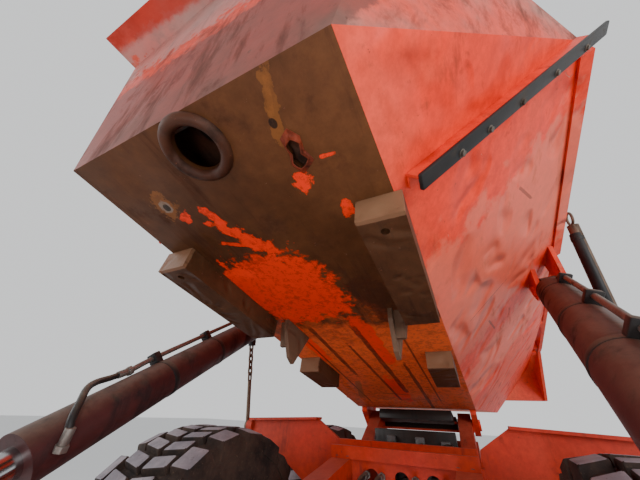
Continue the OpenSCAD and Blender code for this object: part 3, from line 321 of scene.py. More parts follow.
# Glass of the cab
def glass_material():
    material, tree, shader = finish_for("cab_glass")
    here = node(tree, "ShaderNodeTexCoord").outputs["Object"]
    film = ramp(tree, noise(tree, here, 5, 8, 0.7), 0.4, 0.75)
    colour = mix(tree, film, rgb(206, 222, 218), rgb(178, 172, 158))
    rough = maths(tree, "ADD", times(tree, film, 0.25), 0.05)
    filled(tree, shader, {"Base Color": colour, "Roughness": rough, "Transmission Weight": 0.85, "IOR": 1.5})
    return material


# Tyre rubber: dark with soil between the blocks, pale dust on the tread
def tyre_material(name, dark, pale, speck):
    material, tree, shader = finish_for(name, specular=0.2)
    here = node(tree, "ShaderNodeTexCoord").outputs["Object"]
    broad = noise(tree, here, 5, 8, 0.7)
    fine = noise(tree, here, 60, 6, 0.7)
    colour = mix(tree, ramp(tree, broad, 0.35, 0.65), dark, pale)
    colour = mix(tree, ramp(tree, fine, 0.58, 0.72), colour, speck)
    filled(tree, shader, {"Base Color": colour, "Roughness": 0.9})
    bump(tree, shader, maths(tree, "ADD", fine, times(tree, broad, 0.6)), 0.002)
    return material


MATERIALS["tread"] = tyre_material("tread_dust", rgb(128, 124, 130), rgb(158, 152, 156), rgb(96, 90, 90))
MATERIALS["glass"] = glass_material()
MATERIALS["tyre"] = tyre_material("tyre_rubber", rgb(40, 35, 34), rgb(72, 58, 50), rgb(96, 78, 64))


# Dump body paint: the weathered paint on the body's own axes, with dents and scratches
def body_paint(name, base, faded, dirt, streak, marks=(), dent_size=2.6, dent_depth=1.0, scratches=0.6,
               across=(1, 8, 8), fade=0.7, grime=0.4, chips=0.4, flecks=0.0):
    material, tree, shader = finish_for(name, specular=0.22)
    place = use(tree, "body place")["Place"]
    made = use(tree, "weathered", {
        "Place": place, "Base": rgb(*base), "Faded": rgb(*faded), "Dirt": rgb(*dirt), "Bare": rgb(120, 70, 50),
        "Fade": fade,
        "Grime": grime, "Chips": chips, "Dust cover": 0.25, "Streak": streak,
    })
    knocks = use(tree, "dents", {
        "Place": place, "Size": dent_size, "Depth": dent_depth, "Scratches": scratches, "Across": across,
    })
    colour = mix(tree, times(tree, knocks["Scratch mask"], 0.55), made["Colour"], rgb(206, 160, 140))
    for tint, strength, spots in marks:
        for centre, half, turn, sharp, ragged in spots:
            mask = use(tree, "mark", {
                "Place": place, "Centre": centre, "Half size": half, "Turn": (0, 0, math.radians(turn)),
                "Sharpness": sharp, "Ragged": ragged, "Grain": 26.0 if half[0] < 0.3 else 7.0, "Flecks": flecks,
            })["Mask"]
            colour = mix(tree, times(tree, mask, strength), colour, rgb(*tint))
    filled(tree, shader, {"Base Color": colour, "Roughness": made["Roughness"]})
    height = maths(tree, "ADD", knocks["Height"], times(tree, made["Height"], 0.08))
    bump(tree, shader, height, 0.03, 0.8)
    return material


def stroke(x0, w0, x1, w1, width, ragged=0.8):
    """A narrow mark from one place on the floor to another: centre, half size, turn, sharpness, raggedness."""
    length = math.hypot(x1 - x0, w1 - w0)
    middle = ((x0 + x1) / 2, (w0 + w1) / 2, 0)
    return middle, (length / 2, width / 2, 1), math.degrees(math.atan2(w1 - w0, x1 - x0)), 6.0, ragged


OLIVE = (80, 49, 27)
UMBER = (66, 37, 22)
FLOOR_ORANGE = (252, 56, 14)
# Orange paint of the rear floor, made paler and brighter than the paint itself: real paint with painted light over
# the shaded rear
REAR_ORANGE_AND_LIGHT = (248, 108, 56)
FLOOR_MARKS_AND_LIGHT = [
    # Rear floor patches in the lifted orange: the paint's colour with painted light
    (REAR_ORANGE_AND_LIGHT, 0.9, [((0.35, 0, 0), (1.85, 0.85, 1), 0, 6.0, 0.6), ((-0.9, 0, 0), (0.9, 0.9, 1), 0, 6.0, 0.3)]),
    (FLOOR_ORANGE, 0.95, [
        ((2.45, -0.13, 0), (0.29, 0.25, 1), -8, 3.0, 1.3),
        stroke(2.72, -0.25, 2.36, -0.36, 0.12, 1.8), stroke(2.2, 0.08, 1.5, 0.1, 0.1, 2.2),
        stroke(2.15, -0.3, 1.6, -0.3, 0.08, 2.2), stroke(1.3, 0.02, 0.6, 0.0, 0.12, 2.4),
        stroke(2.999, -0.157, 2.906, -0.123, 0.036, 2.4), stroke(2.932, -0.161, 2.787, -0.078, 0.05, 2.6),
        stroke(2.835, -0.208, 2.752, -0.042, 0.02, 2.4), stroke(3.022, 0.300, 3.019, 0.351, 0.012, 1.4),
        ((2.975, 0.227, 0), (0.04, 0.03, 1), 20, 2.0, 3.2), ((2.983, -0.241, 0), (0.032, 0.02, 1), 50, 2.0, 3.0),
        ((2.79, -0.08, 0), (0.09, 0.04, 1), -30, 2.0, 3.4), ((2.83, 0.31, 0), (0.04, 0.02, 1), 10, 2.0, 2.6),
    ]),
    (UMBER, 0.85, [
        stroke(2.49, 0.2, 2.05, 0.3, 0.16, 1.2), stroke(2.05, 0.04, 0.9, 0.06, 0.035, 1.6),
        stroke(2.1, -0.2, 1.2, -0.21, 0.03, 1.8), stroke(1.9, -0.07, 0.6, -0.04, 0.02, 1.6),
        stroke(1.6, 0.18, 0.3, 0.19, 0.025, 1.8), stroke(2.258, -0.294, 0.522, -0.334, 0.012, 0.5),
        stroke(2.316, 0.255, 0.539, 0.284, 0.012, 0.5), stroke(0.827, -0.143, 0.775, 0.068, 0.012, 0.4),
    ]),
    ((140, 88, 42), 0.7, [
        stroke(3.27, 0.285, 3.09, 0.225, 0.035, 2.6), stroke(3.245, 0.278, 3.147, 0.235, 0.016, 2.2),
        stroke(1.18, -0.25, 0.66, -0.38, 0.05, 1.4), ((3.04, -0.267, 0), (0.06, 0.045, 1), 30, 2.0, 2.8),
    ]),
    ((132, 122, 110), 0.8, [((3.04, -0.267, 0), (0.03, 0.022, 1), 30, 2.0, 2.2)]),
    ((30, 22, 18), 0.9, [
        ((3.04, -0.267, 0), (0.016, 0.013, 1), 30, 2.0, 0.8), ((3.147, 0.235, 0), (0.014, 0.011, 1), 0, 2.0, 0.4),
    ]),
]
# Front wall: a dark band along the fold with the floor, a pale scuff, and painted shade on the top flange
FRONT_MARKS_AND_SHADE = [
    ((78, 50, 42), 0.7, [((3.3, 0, 0), (0.06, 0.75, 1), 0, 6.0, 0.9)]),
    ((176, 140, 134), 0.65, [((3.45, -0.2, 0), (0.07, 0.5, 1), 0, 6.0, 1.6)]),
    # Painted shade: a deeper, darker red over the whole top flange
    ((176, 48, 34), 0.8, [((3.66, 0, 0), (0.17, 1.2, 1), 0, 8.0, 0.3)]),
]
SIDE_MARKS = [
    ((222, 124, 100), 0.5, [((1.95, 0, 0), (0.55, 3, 1), 0, 2.0, 1.6), ((0.9, 0, 0), (0.3, 3, 1), 0, 2.0, 1.8)]),
    ((120, 56, 40), 0.7, [
        stroke(2.3, 0.93, 2.12, 1.02, 0.012, 0.9), stroke(1.5, 0.72, 1.3, 0.76, 0.01, 0.9),
        stroke(1.75, 0.6, 1.7, 0.86, 0.008, 0.9),
    ]),
]
PAD_MARKS = [
    ((108, 84, 66), 0.9, [((2.09, side * 0.294, 0), (0.15, 0.045, 1), 0, 8.0, 0.2) for side in (1, -1)]),
    ((150, 112, 84), 0.6, [
        ((x, side * 0.41, 0), (0.012, 0.08, 1), 0, 8.0, 0.6) for side in (1, -1) for x in (2.845, 1.672)
    ]),
]
RING_MARKS = [((16, 12, 10), 0.95, [((3.168, 0, 0), (0.062, 0.062, 1), 0, 2.0, 0.1)])]
MATERIALS["floor"] = body_paint(
    "body_floor_paint", OLIVE, (112, 70, 40), UMBER, (1, 9, 9), FLOOR_MARKS_AND_LIGHT,
    dent_size=1.7, dent_depth=0.6, scratches=0.4, grime=0.55, chips=0.2, flecks=0.45,
)
MATERIALS["front_wall"] = body_paint(
    "body_front_paint", (216, 62, 34), (158, 124, 112), (96, 60, 50), (7, 7, 0.8), FRONT_MARKS_AND_SHADE,
    dent_size=2.0, dent_depth=0.9, scratches=0.9, across=(9, 9, 1), fade=1.0, grime=0.62,
)
MATERIALS["pads"] = body_paint(
    "pad_paint", (74, 46, 28), (92, 62, 40), (46, 29, 20), (1, 6, 6), PAD_MARKS,
    dent_size=9.0, dent_depth=0.3, scratches=0.5, fade=0.6, grime=0.5,
)
MATERIALS["ring"] = body_paint(
    "ring_paint", (66, 38, 26), (92, 58, 40), (34, 24, 19), (6, 6, 6), RING_MARKS,
    dent_size=14.0, dent_depth=0.15, scratches=0.2, grime=0.6,
)
MATERIALS["torn_edge"] = body_paint(
    "torn_edge", (92, 42, 24), (150, 60, 34), (40, 22, 18), (9, 9, 9),
    dent_size=20.0, dent_depth=0.2, scratches=0.2, grime=0.7, chips=0.6,
)
MATERIALS["side_wall"] = body_paint(
    "body_side_paint", (230, 54, 26), (220, 112, 88), (110, 66, 48), (2, 5, 5), SIDE_MARKS,
    dent_size=3.4, dent_depth=1.2, scratches=0.9, across=(2, 7, 7), fade=0.36, grime=0.42, chips=0.35,
)


# Modelling helpers
def deselect():
    bpy.ops.object.select_all(action="DESELECT")


def alone(piece):
    deselect()
    bpy.context.view_layer.objects.active = piece
    piece.select_set(True)
    return piece


def settle(piece):
    """Puts the piece's place into its mesh."""
    alone(piece)
    bpy.ops.object.transform_apply(location=True, rotation=True, scale=True)
    return piece


def put(piece, name, body, material):
    piece.name = name
    piece.data.name = name
    if material:
        piece.data.materials.clear()
        piece.data.materials.append(MATERIALS[material])
    settle(piece)
    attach(piece, body)
    return piece


def moved(piece, x, y, z):
    """Moves the piece's mesh."""
    piece.data.transform(Matrix.Translation((x, y, z)))
    return piece


def applied(piece, kind, **settings):
    """Adds a modifier to the piece and applies it at once."""
    alone(piece)
    made = piece.modifiers.new("shape", kind)
    for key, value in settings.items():
        setattr(made, key, value)
    bpy.ops.object.modifier_apply(modifier="shape")


def smooth(angle):
    """Smooth shading on the selected piece, but not across edges sharper than the angle in degrees."""
    bpy.ops.object.shade_smooth_by_angle(angle=math.radians(angle))


def open_mesh(piece, action="SELECT"):
    """Goes into edit mode with all or none of the piece's mesh selected."""
    alone(piece)
    bpy.ops.object.mode_set(mode="EDIT")
    bpy.ops.mesh.select_all(action=action)


def close_mesh():
    bpy.ops.object.mode_set(mode="OBJECT")


def pick_faces(piece, test):
    """Selects, in edit mode, the faces that pass the test and no others."""
    mesh = bmesh.from_edit_mesh(piece.data)
    for face in mesh.faces:
        face.select = test(face)


def rounded(piece, width, segments=2, angle=30):
    """Rounds the piece's sharp edges by a bevel."""
    applied(piece, "BEVEL", width=width, segments=segments, limit_method="ANGLE", angle_limit=math.radians(angle))
    smooth(32)
    return piece


def block(low, high, width=0.004, where=None):
    """A plate or block between two corners, its edges rounded, in the frame of the matrix given."""
    deselect()
    low, high = Vector(low), Vector(high)
    bpy.ops.mesh.primitive_cube_add(size=1, location=(low + high) / 2)
    piece = bpy.context.object
    piece.scale = high - low
    settle(piece)
    rounded(piece, width)
    if where:
        piece.data.transform(where)
    return piece


def joined(pieces):
    pieces = list(pieces)
    deselect()
    for piece in pieces:
        piece.select_set(True)
    bpy.context.view_layer.objects.active = pieces[0]
    if len(pieces) > 1:
        bpy.ops.object.join()
    return pieces[0]


def copied(piece, matrices, keep=False):
    """Copies of the piece with their own meshes, joined in one; the first pattern goes unless it is kept."""
    made = []
    for matrix in matrices:
        twin = piece.copy()
        twin.data = piece.data.copy()
        twin.data.transform(matrix)
        if matrix.determinant() < 0:
            twin.data.flip_normals()
        bpy.context.scene.collection.objects.link(twin)
        made.append(twin)
    if not keep:
        bpy.data.objects.remove(piece)
    return joined(made)


def cylinder(sides, radius, depth, z=0.0):
    deselect()
    bpy.ops.mesh.primitive_cylinder_add(vertices=sides, radius=radius, depth=depth, location=(0, 0, z))
    return settle(bpy.context.object)


def pin(radius, depth, sides=24, edge=0.003):
    """A round or many-sided bar along Z, centred, with rounded ends."""
    return rounded(cylinder(sides, radius, depth), edge, 2, 40)


def pointing(place, direction, spin=0.0):
    """A matrix that stands a piece's Z axis along a direction at a place."""
    turn = Vector(direction).to_track_quat("Z", "Y").to_matrix().to_4x4()
    return Matrix.Translation(Vector(place)) @ turn @ Matrix.Rotation(spin, 4, "Z")


def bolt(size=0.03):
    """A hexagon head on its washer, standing on the plane Z = 0."""
    washer = rounded(cylinder(20, size * 0.95, size * 0.14, size * 0.07), size * 0.05, 1, 40)
    head = rounded(cylinder(6, size * 0.7, size * 0.5, size * 0.36), size * 0.07, 1, 40)
    return joined([washer, head])


def bolts(name, body, places, size=0.03, material="bolt"):
    """Bolts at (place, direction) pairs, as one piece."""
    made = copied(bolt(size), [pointing(p, d, 0.37 * i) for i, (p, d) in enumerate(places)])
    return put(made, name, body, material)


def curve_from(points, radius, kind="NURBS"):
    data = bpy.data.curves.new("route", "CURVE")
    data.dimensions = "3D"
    data.resolution_u = 4
    data.bevel_depth = radius
    data.bevel_resolution = 4
    data.use_fill_caps = True
    spline = data.splines.new(kind)
    spline.points.add(len(points) - 1)
    for point, place in zip(spline.points, points):
        point.co = (*place, 1)
    if kind == "NURBS":
        spline.order_u = 3
        spline.use_endpoint_u = True
    return new_object("route", data)


def tube(points, radius):
    """A bent pipe through the points, as a mesh."""
    alone(curve_from(points, radius))
    bpy.ops.object.convert(target="MESH")
    smooth(40)
    return bpy.context.object


def smooth_line(points, count):
    """A smooth line of evenly spread places through a few places."""
    points = [Vector(p) for p in points]
    ends = [points[0] * 2 - points[1]] + points + [points[-1] * 2 - points[-2]]
    fine = []
    for i in range(len(points) - 1):
        a, b, c, d = ends[i:i + 4]
        for k in range(24):
            t = k / 24
            fine.append(0.5 * (2 * b + (c - a) * t + (2 * a - 5 * b + 4 * c - d) * t ** 2
                               + (3 * b - a - 3 * c + d) * t ** 3))
    fine.append(points[-1])
    marks = [0.0]
    for a, b in zip(fine, fine[1:]):
        marks.append(marks[-1] + (b - a).length)
    made = []
    for k in range(count):
        want = marks[-1] * k / (count - 1)
        i = max(j for j in range(len(marks) - 1) if marks[j] <= want + 1e-9)
        span = marks[i + 1] - marks[i]
        made.append(fine[i].lerp(fine[i + 1], (want - marks[i]) / span if span else 0))
    return made, marks[-1]


def hose(name, body, points, diameter, count=22):
    """A hydraulic hose: a smooth line from fitting to fitting."""
    line, length = smooth_line(points, count)
    made = curve_from(line, diameter / 2, "POLY")
    made.name = name
    made.data.name = name
    made.data.materials.append(MATERIALS["hose"])
    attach(made, body)
    return made


def hose_end(place, direction, diameter):
    """A crimped sleeve and nut where a hose starts."""
    sleeve = moved(pin(diameter * 0.62, diameter * 2.2, 16, diameter * 0.06), 0, 0, diameter * 0.9)
    nut = moved(pin(diameter * 0.85, diameter * 0.8, 6, diameter * 0.06), 0, 0, -diameter * 0.3)
    made = joined([sleeve, nut])
    made.data.transform(pointing(place, direction))
    return made


# Hydraulic hoses first, with their end fittings
def hose_with_ends(name, body, points, diameter):
    hose(name, body, points, diameter)
    first, second, last, before = Vector(points[0]), Vector(points[1]), Vector(points[-1]), Vector(points[-2])
    ends = joined([hose_end(first, second - first, diameter), hose_end(last, before - last, diameter)])
    put(ends, name + "_ends", body, "pipe")


# From the cross beam's web plate over the middle cross tube to the front one, sagging between them
for i, (y, drop) in enumerate(((-0.235, 0.02), (-0.13, 0.045), (0.09, 0.03), (0.27, 0.05))):
    hose_with_ends(f"frame_hose_{i + 1}", "rear_unit", [
        (-2.372, y, 1.352), (-2.24, y, 1.345), (-1.85, y * 0.96, 1.245 - drop),
        (-1.45, y * 0.92, 1.215 - drop * 0.5), (-1.143, y * 0.9, 1.216), (-0.85, y * 0.88, 1.15 - drop),
        (-0.5, y * 0.86, 1.07 - drop * 0.6),
        (-0.28, y * 0.85, 1.044), (-0.155, y * 0.85, 1.037),
    ], 0.03)


# Tyre: carcass turned from its profile, with one lug modelled and copied round both shoulders
def tyre_carcass():
    half = TYRE_W / 2
    seat, bead, crown = 0.3178, half * 0.78, TYRE_R - 0.045
    outline = [
        (seat, -bead), (seat + 0.012, -bead - 0.006), (seat + 0.04, -bead - 0.004), (seat + 0.05, -bead - 0.016),
        (seat + 0.09, -bead - 0.02), (0.46, -half * 0.92), (crown * 0.72, -half), (crown * 0.82, -half * 0.99),
        (crown * 0.9, -half * 0.965), (crown - 0.012, -half * 0.88), (crown, -half * 0.78),
        (crown + 0.004, -half * 0.3), (crown + 0.005, 0),
    ]
    outline = outline + [(r, -y) for r, y in reversed(outline[:-1])]
    mesh = bpy.data.meshes.new("carcass")
    made = new_object("carcass", mesh)
    mesh.from_pydata([(r, y, 0) for r, y in outline], [(i, i + 1) for i in range(len(outline) - 1)], [])
    open_mesh(made)
    bpy.ops.mesh.spin(steps=72, angle=math.tau, center=(0, 0, 0), axis=(0, 1, 0))
    bpy.ops.mesh.select_all(action="SELECT")
    bpy.ops.mesh.remove_doubles(threshold=0.0002)
    bpy.ops.mesh.normals_make_consistent(inside=False)
    close_mesh()
    applied(made, "SOLIDIFY", thickness=0.03, offset=-1)
    smooth(28)
    return made


def tread_block(y0, y1, length, top, drop, lean):
    """A block of the tread: wide at its foot, its top face marked for the dusty finish."""
    deselect()
    bpy.ops.mesh.primitive_cube_add(size=1)
    made = bpy.context.object
    for v in made.data.vertices:
        x, y, z = v.co
        taper = 0.86 if z > 0 else 1.08
        height = (top - (drop if y > 0 else 0)) if z > 0 else TYRE_R - 0.085 - (0.05 if y > 0 and drop else 0)
        v.co = (x * length * taper + lean * (0.5 + y), y1 if y > 0 else y0, height)
    open_mesh(made, "DESELECT")
    pick_faces(made, lambda face: face.calc_center_median().z > TYRE_R - 0.03 and face.normal.z > 0.5)
    bpy.ops.mesh.inset(thickness=0.007)
    bpy.ops.transform.translate(value=(0, 0, 0.004))
    mesh = bmesh.from_edit_mesh(made.data)
    for face in mesh.faces:
        face.material_index = 1 if face.select else 0
    close_mesh()
    made.data.materials.append(MATERIALS["tyre"])
    made.data.materials.append(MATERIALS["tread"])
    return rounded(made, 0.004, 1, 25)


def tyre_pattern():
    half = TYRE_W / 2
    count = 20
    step = math.tau / count
    shoulder = tread_block(half * 0.62, half * 0.99, 0.17, TYRE_R - 0.012, 0.026, 0.02)
    middle = tread_block(half * 0.05, half * 0.56, 0.094, TYRE_R - 0.008, 0.0, 0.03)
    pieces = []
    for flip, offset in ((Matrix.Identity(4), 0.0), (MIRROR, 0.5)):
        turns = [Matrix.Rotation(step * (i + offset), 4, "Y") @ flip for i in range(count)]
        pieces.append(copied(shoulder, turns, True))
        turns = [Matrix.Rotation(step * (i / 2 + offset + 0.2), 4, "Y") @ flip for i in range(2 * count)]
        pieces.append(copied(middle, turns, True))
    bpy.data.objects.remove(shoulder)
    bpy.data.objects.remove(middle)
    carcass = tyre_carcass()
    carcass.data.materials.append(MATERIALS["tyre"])
    return joined([carcass] + pieces)


tyre = tyre_pattern()
for wheel, x, side in WHEELS:
    place = Matrix.Translation((x, side * TRACK / 2, TYRE_R)) @ Matrix.Rotation(0.06 * (1 + side) + x, 4, "Y")
    made = copied(tyre, [place @ Matrix.Rotation(math.pi if side < 0 else 0, 4, "Z")], keep=True)
    put(made, "dressed_tyre_" + wheel, "wheel_" + wheel, None)
    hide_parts("tyre_" + wheel)
bpy.data.objects.remove(tyre)

# Wheel nuts round each rim
NUTS = 16
NUT_RING = 0.245
for wheel, x, side in WHEELS:
    middle = Vector((x, side * TRACK / 2, TYRE_R))
    places = []
    for i in range(NUTS):
        a = math.tau * i / NUTS
        spot = middle + Vector((math.cos(a) * NUT_RING, side * 0.0755, math.sin(a) * NUT_RING))
        places.append((spot, (0, side, 0)))
    bolts("wheel_nuts_" + wheel, "wheel_" + wheel, places, 0.034)


# Materials of the CAD nodes
FINISHES = {
    "front_frame": "frame_dark", "front_axle": "axle_grey", "engine_block": "engine_grey", "bumper": "frame_dark",
    "front_decks": "deck_dark", "steps_and_tanks": "deck_dark", "cab_shell": "orange", "cab_roof": "orange",
    "cab_glass": "glass", "cab_seat": "seat", "cab_console": "plastic", "mirrors": "plastic", "hood": "orange",
    "grille": "plastic", "cab_door": "orange", "door_glass": "glass", "hitch": "axle_grey",
    "rear_frame": "frame_orange", "hoist_feet": "frame_orange", "cross_beam": "frame_orange",
    "outriggers": "frame_orange", "bogie_beams": "frame_orange", "bogie_axles": "axle_grey", "body_floor": "floor",
    "body_pads": "pads", "exhaust_port": "ring", "body_front": "front_wall", "body_side_left": "side_wall",
    "body_side_right": "side_wall", "body_frame": "side_wall", "tailgate": "orange", "chains": "chain_steel",
}
for side, label in SIDES:
    FINISHES["steer_barrel_" + label] = "frame_dark"
    FINISHES["steer_rod_" + label] = "chrome_rod"
    FINISHES["hoist_barrel_" + label] = "maroon"
    FINISHES["hoist_rod_" + label] = "chrome_rod"
for wheel, x, side in WHEELS:
    FINISHES["rim_" + wheel] = "orange"
    FINISHES["tyre_" + wheel] = "tyre"
for name, piece in NODES.items():
    for slot in piece.material_slots:
        slot.material = MATERIALS[FINISHES[name]]


# Lips of the torn hole, bent down and curled
def torn_lips():
    outline = [(-46, -12), (-20, -26), (4, -18), (38, -20), (52, 2), (30, 18), (2, 12), (-24, 22)]
    centre = Vector((3.055, 0.257, 0.055))
    mesh = bpy.data.meshes.new("lips")
    made = new_object("lips", mesh)
    count = len(outline)
    rings = []
    for scale, drop in ((1.32, 0.0005), (1.02, -0.004), (0.84, -0.013)):
        for i, (x, y) in enumerate(outline):
            curl = drop * (1 + 0.4 * math.sin(i * 2.3))
            rings.append(centre + Vector((x * scale / 1000, y * scale / 1000, curl)))
    faces = [
        (r * count + i, r * count + (i + 1) % count, (r + 1) * count + (i + 1) % count, (r + 1) * count + i)
        for r in range(2) for i in range(count)
    ]
    mesh.from_pydata([BODY @ p for p in rings], [], faces)
    open_mesh(made)
    bpy.ops.mesh.subdivide(number_cuts=1, smoothness=0.6)
    bpy.ops.mesh.normals_make_consistent(inside=False)
    close_mesh()
    applied(made, "SOLIDIFY", thickness=0.003)
    smooth(50)
    return made


put(torn_lips(), "torn_hole_lips", "dump_body", "torn_edge")

# Torn flap above the hole, bent up into the body
flap = block((2.98, 0.19, 0.078), (3.13, 0.325, 0.082), 0.001)
open_mesh(flap)
bpy.ops.mesh.subdivide(number_cuts=3, fractal=0.25, seed=4)
close_mesh()
flap.data.transform(BODY)
put(flap, "torn_flap", "dump_body", "ring")


# Transverse rib on each side wall with its rubber strip and bolts; on the right they start further up
def side_rib(side, label):
    a, b, f = Vector((3.263, 0.44, 0.055)), Vector((2.71, 1.225, 0.87)), Vector((0.346, 0.53, 0.055))
    normal = (b - a).cross(f - a).normalized()
    if normal.y < 0:
        normal = -normal
    low, high = Vector((2.862, 0.53, 0.06)), Vector((2.735, 1.2, 0.84))
    low -= normal * (low - a).dot(normal)
    high -= normal * (high - a).dot(normal)
    along = (high - low).normalized()
    aside = normal.cross(along)
    turn = Matrix((aside, normal, along)).transposed().to_4x4()
    place = Matrix.Translation(low) @ turn
    length = (high - low).length
    where = (MIRROR if side < 0 else Matrix.Identity(4)) @ BODY @ place
    start, strip_start = (0.13, 0.21) if side < 0 else (0, -0.01)
    rib = joined([
        block((-0.006, 0.001, start), (0.006, 0.05, length), 0.003, where),
        block((-0.045, 0.001, start), (-0.006, 0.009, length), 0.003, where),
    ])
    strip = block((-0.032, 0.05, strip_start), (0.018, 0.064, length + 0.1), 0.004, where)
    if side < 0:
        for piece in (rib, strip):
            piece.data.flip_normals()
    put(rib, f"side_rib_{label}", "dump_body", "side_wall")
    put(strip, f"rubber_strip_{label}", "dump_body", "hose")
    out = where.to_3x3() @ Vector((0, 1, 0))
    spots = (0.16, 0.3, 0.48, 0.7, 0.92) if side > 0 else (0.3, 0.48, 0.7, 0.92)
    places = [(where @ Vector((-0.016, 0.064, length * t)), out) for t in spots]
    bolts("strip_bolts_" + label, "dump_body", places, 0.014)


# Pipe along each hoist barrel, held by clamps, and the hose that goes on from its end
def barrel_pipe(side, label):
    axis = (HOIST_LOW - HOIST_TOP).normalized()
    lean = Vector((0.3, 0.4, 1))
    beside = (lean - axis * lean.dot(axis)).normalized()
    third = axis.cross(beside)
    where = Matrix.Translation(HOIST_TOP) @ Matrix((third, beside, axis)).transposed().to_4x4()
    if side < 0:
        where = MIRROR @ where
    line = [(0, 0.095, 0.16), (0, 0.118, 0.2), (0, 0.122, 0.3), (0, 0.122, 0.9), (0, 0.12, 1.3), (0, 0.113, 1.42)]
    pipe = tube([where @ p for p in smooth_line(line, 24)[0]], 0.013)
    put(pipe, f"barrel_pipe_{label}", f"hoist_barrel_{label}", "pipe")
    clamps = []
    for z in (0.34, 0.86, 1.28):
        band = moved(pin(0.0925, 0.034, 32, 0.003), 0, 0, z)
        clamps += [band, block((-0.028, 0.086, z - 0.02), (0.028, 0.144, z + 0.02), 0.005)]
    clamps = joined(clamps)
    clamps.data.transform(where)
    if side < 0:
        clamps.data.flip_normals()
    put(clamps, f"pipe_clamps_{label}", f"hoist_barrel_{label}", "hose")
    route = [
        (0, 0.113, 1.44), (0.004, 0.118, 1.52), (0.03, 0.124, 1.6), (0.075, 0.112, 1.67),
        (0.112, 0.075, 1.73), (0.124, 0.03, 1.78), (0.116, -0.01, 1.8), (0.1, -0.03, 1.81),
    ]
    hose_with_ends(f"hoist_hose_{label}", f"hoist_barrel_{label}", [where @ Vector(p) for p in route], 0.026)


CHAIN_Y = 1.459


# Rubber sleeve round the upper half of each chain, with a collar near each end
def chain_sleeve(side, label):
    low, high = Vector((MID_X - 0.75, CHAIN_Y, 1.58)), BODY @ Vector((-0.75 + 2.119, CHAIN_Y, 1.02 + 0.095))
    axis = (high - low).normalized()
    top = (high - low).length - 0.046 - 0.02 - 0.055
    where = Matrix.Translation(low) @ axis.to_track_quat("Z", "Y").to_matrix().to_4x4()
    sizes = ((top - 0.32, 0.0375, 0.6), (top - 0.06, 0.04, 0.03), (top - 0.58, 0.04, 0.03))
    sleeve = joined(moved(pin(radius, depth, 28, 0.004), 0, 0, z) for z, radius, depth in sizes)
    where = Matrix.Translation((0, -0.006, 0)) @ where
    sleeve.data.transform((MIRROR if side < 0 else Matrix.Identity(4)) @ where)
    if side < 0:
        sleeve.data.flip_normals()
    put(sleeve, f"chain_sleeve_{label}", "chains", "hose")


for make in (side_rib, barrel_pipe, chain_sleeve):
    for side, label in SIDES:
        make(side, label)

# Greasy parts between the rails behind the cross beam: cover plate, hinge tube, cross member and small pipes
cover = block((-3.01, -0.34, 1.12), (-2.99, 0.34, 1.605), 0.006)
put(cover, "greasy_cover", "rear_unit", "grease")
tube_across = pin(0.062, 0.69, 28, 0.01)
tube_across.data.transform(Matrix.Translation(HINGE) @ Matrix.Rotation(math.pi / 2, 4, "X"))
put(tube_across, "hinge_tube", "rear_unit", "grease")
member = block((0.13, -0.33, -0.03), (0.3, 0.33, 0.052), 0.008, BODY)
put(member, "body_cross_member", "dump_body", "grease")
pipes = []
for i, y in enumerate((-0.27, -0.19, -0.08, 0.04, 0.15, 0.26)):
    route = [
        (-2.985, y, 1.18 + 0.02 * i), (-2.93, y + 0.02, 1.3), (-2.9, y - 0.03, 1.45 + 0.02 * (i % 3)),
        (-2.84, y + 0.05, 1.5 + 0.015 * (i % 2)), (-2.72, y + 0.03, 1.47), (-2.58, y, 1.4),
    ]
    pipes.append(tube(smooth_line(route, 20)[0], 0.011 + 0.003 * (i % 2)))
put(joined(pipes), "greasy_pipes", "rear_unit", "grease")
spots = ((-0.3, 1.2), (-0.12, 1.22), (0.02, 1.5), (0.1, 1.24), (-0.22, 1.5), (0.22, 1.48))
fittings = [block((-2.985, y, z), (-2.93, y + 0.07, z + 0.06), 0.008) for y, z in spots]
put(joined(fittings), "greasy_fittings", "rear_unit", "engine_grey")

# Lips of the beam's channel with rounded ends
lips = [
    block((0.088, -0.47, 0.022), (0.122, 0.47, 0.038), 0.005, REAR),
    block((0.088, -0.47, -0.042), (0.122, 0.47, -0.026), 0.005, REAR),
    block((0.088, 0.462, -0.04), (0.118, 0.478, 0.036), 0.005, REAR),
    block((0.088, -0.478, -0.04), (0.118, -0.462, 0.036), 0.005, REAR),
]
put(joined(lips), "beam_lips", "rear_unit", "frame_orange")
forward = REAR.to_3x3() @ Vector((1, 0, 0))
places = [(REAR @ Vector((0.09, y, -0.002)), forward) for y in (-0.435, 0.435)]
bolts("beam_end_bolts", "rear_unit", places, 0.036, "pipe")

# Bolts of the cross beam: two rows at its ends and one in the middle
upward = REAR.to_3x3() @ Vector((0, 0, 1))
spots = [(x, y) for y in (-0.44, -0.36, 0.36, 0.44) for x in (0.965, 1.085)]
spots += [(1.025, y) for y in (-0.26, -0.13, 0, 0.13, 0.26)]
bolts("beam_bolts", "rear_unit", [(REAR @ Vector((x, y, -0.026)), upward) for x, y in spots], 0.034)


# Cab and tractor trim
def seal(where, wide, high):
    """A rubber seal round a window: X across, Y outwards, Z up from the window's lower edge."""
    x = wide / 2
    parts = [
        ((-x - 0.022, -0.01, -0.022), (x + 0.022, 0.007, 0.012)),
        ((-x - 0.022, -0.01, high - 0.012), (x + 0.022, 0.007, high + 0.022)),
        ((-x - 0.022, -0.01, 0), (-x + 0.012, 0.007, high)),
        ((x - 0.012, -0.01, 0), (x + 0.022, 0.007, high)),
    ]
    return joined([block(low, top, 0.004, where) for low, top in parts])


def facing(place, across, outward, upward):
    made = Matrix((Vector(across), Vector(outward), Vector(upward))).transposed().to_4x4()
    return Matrix.Translation(Vector(place)) @ made


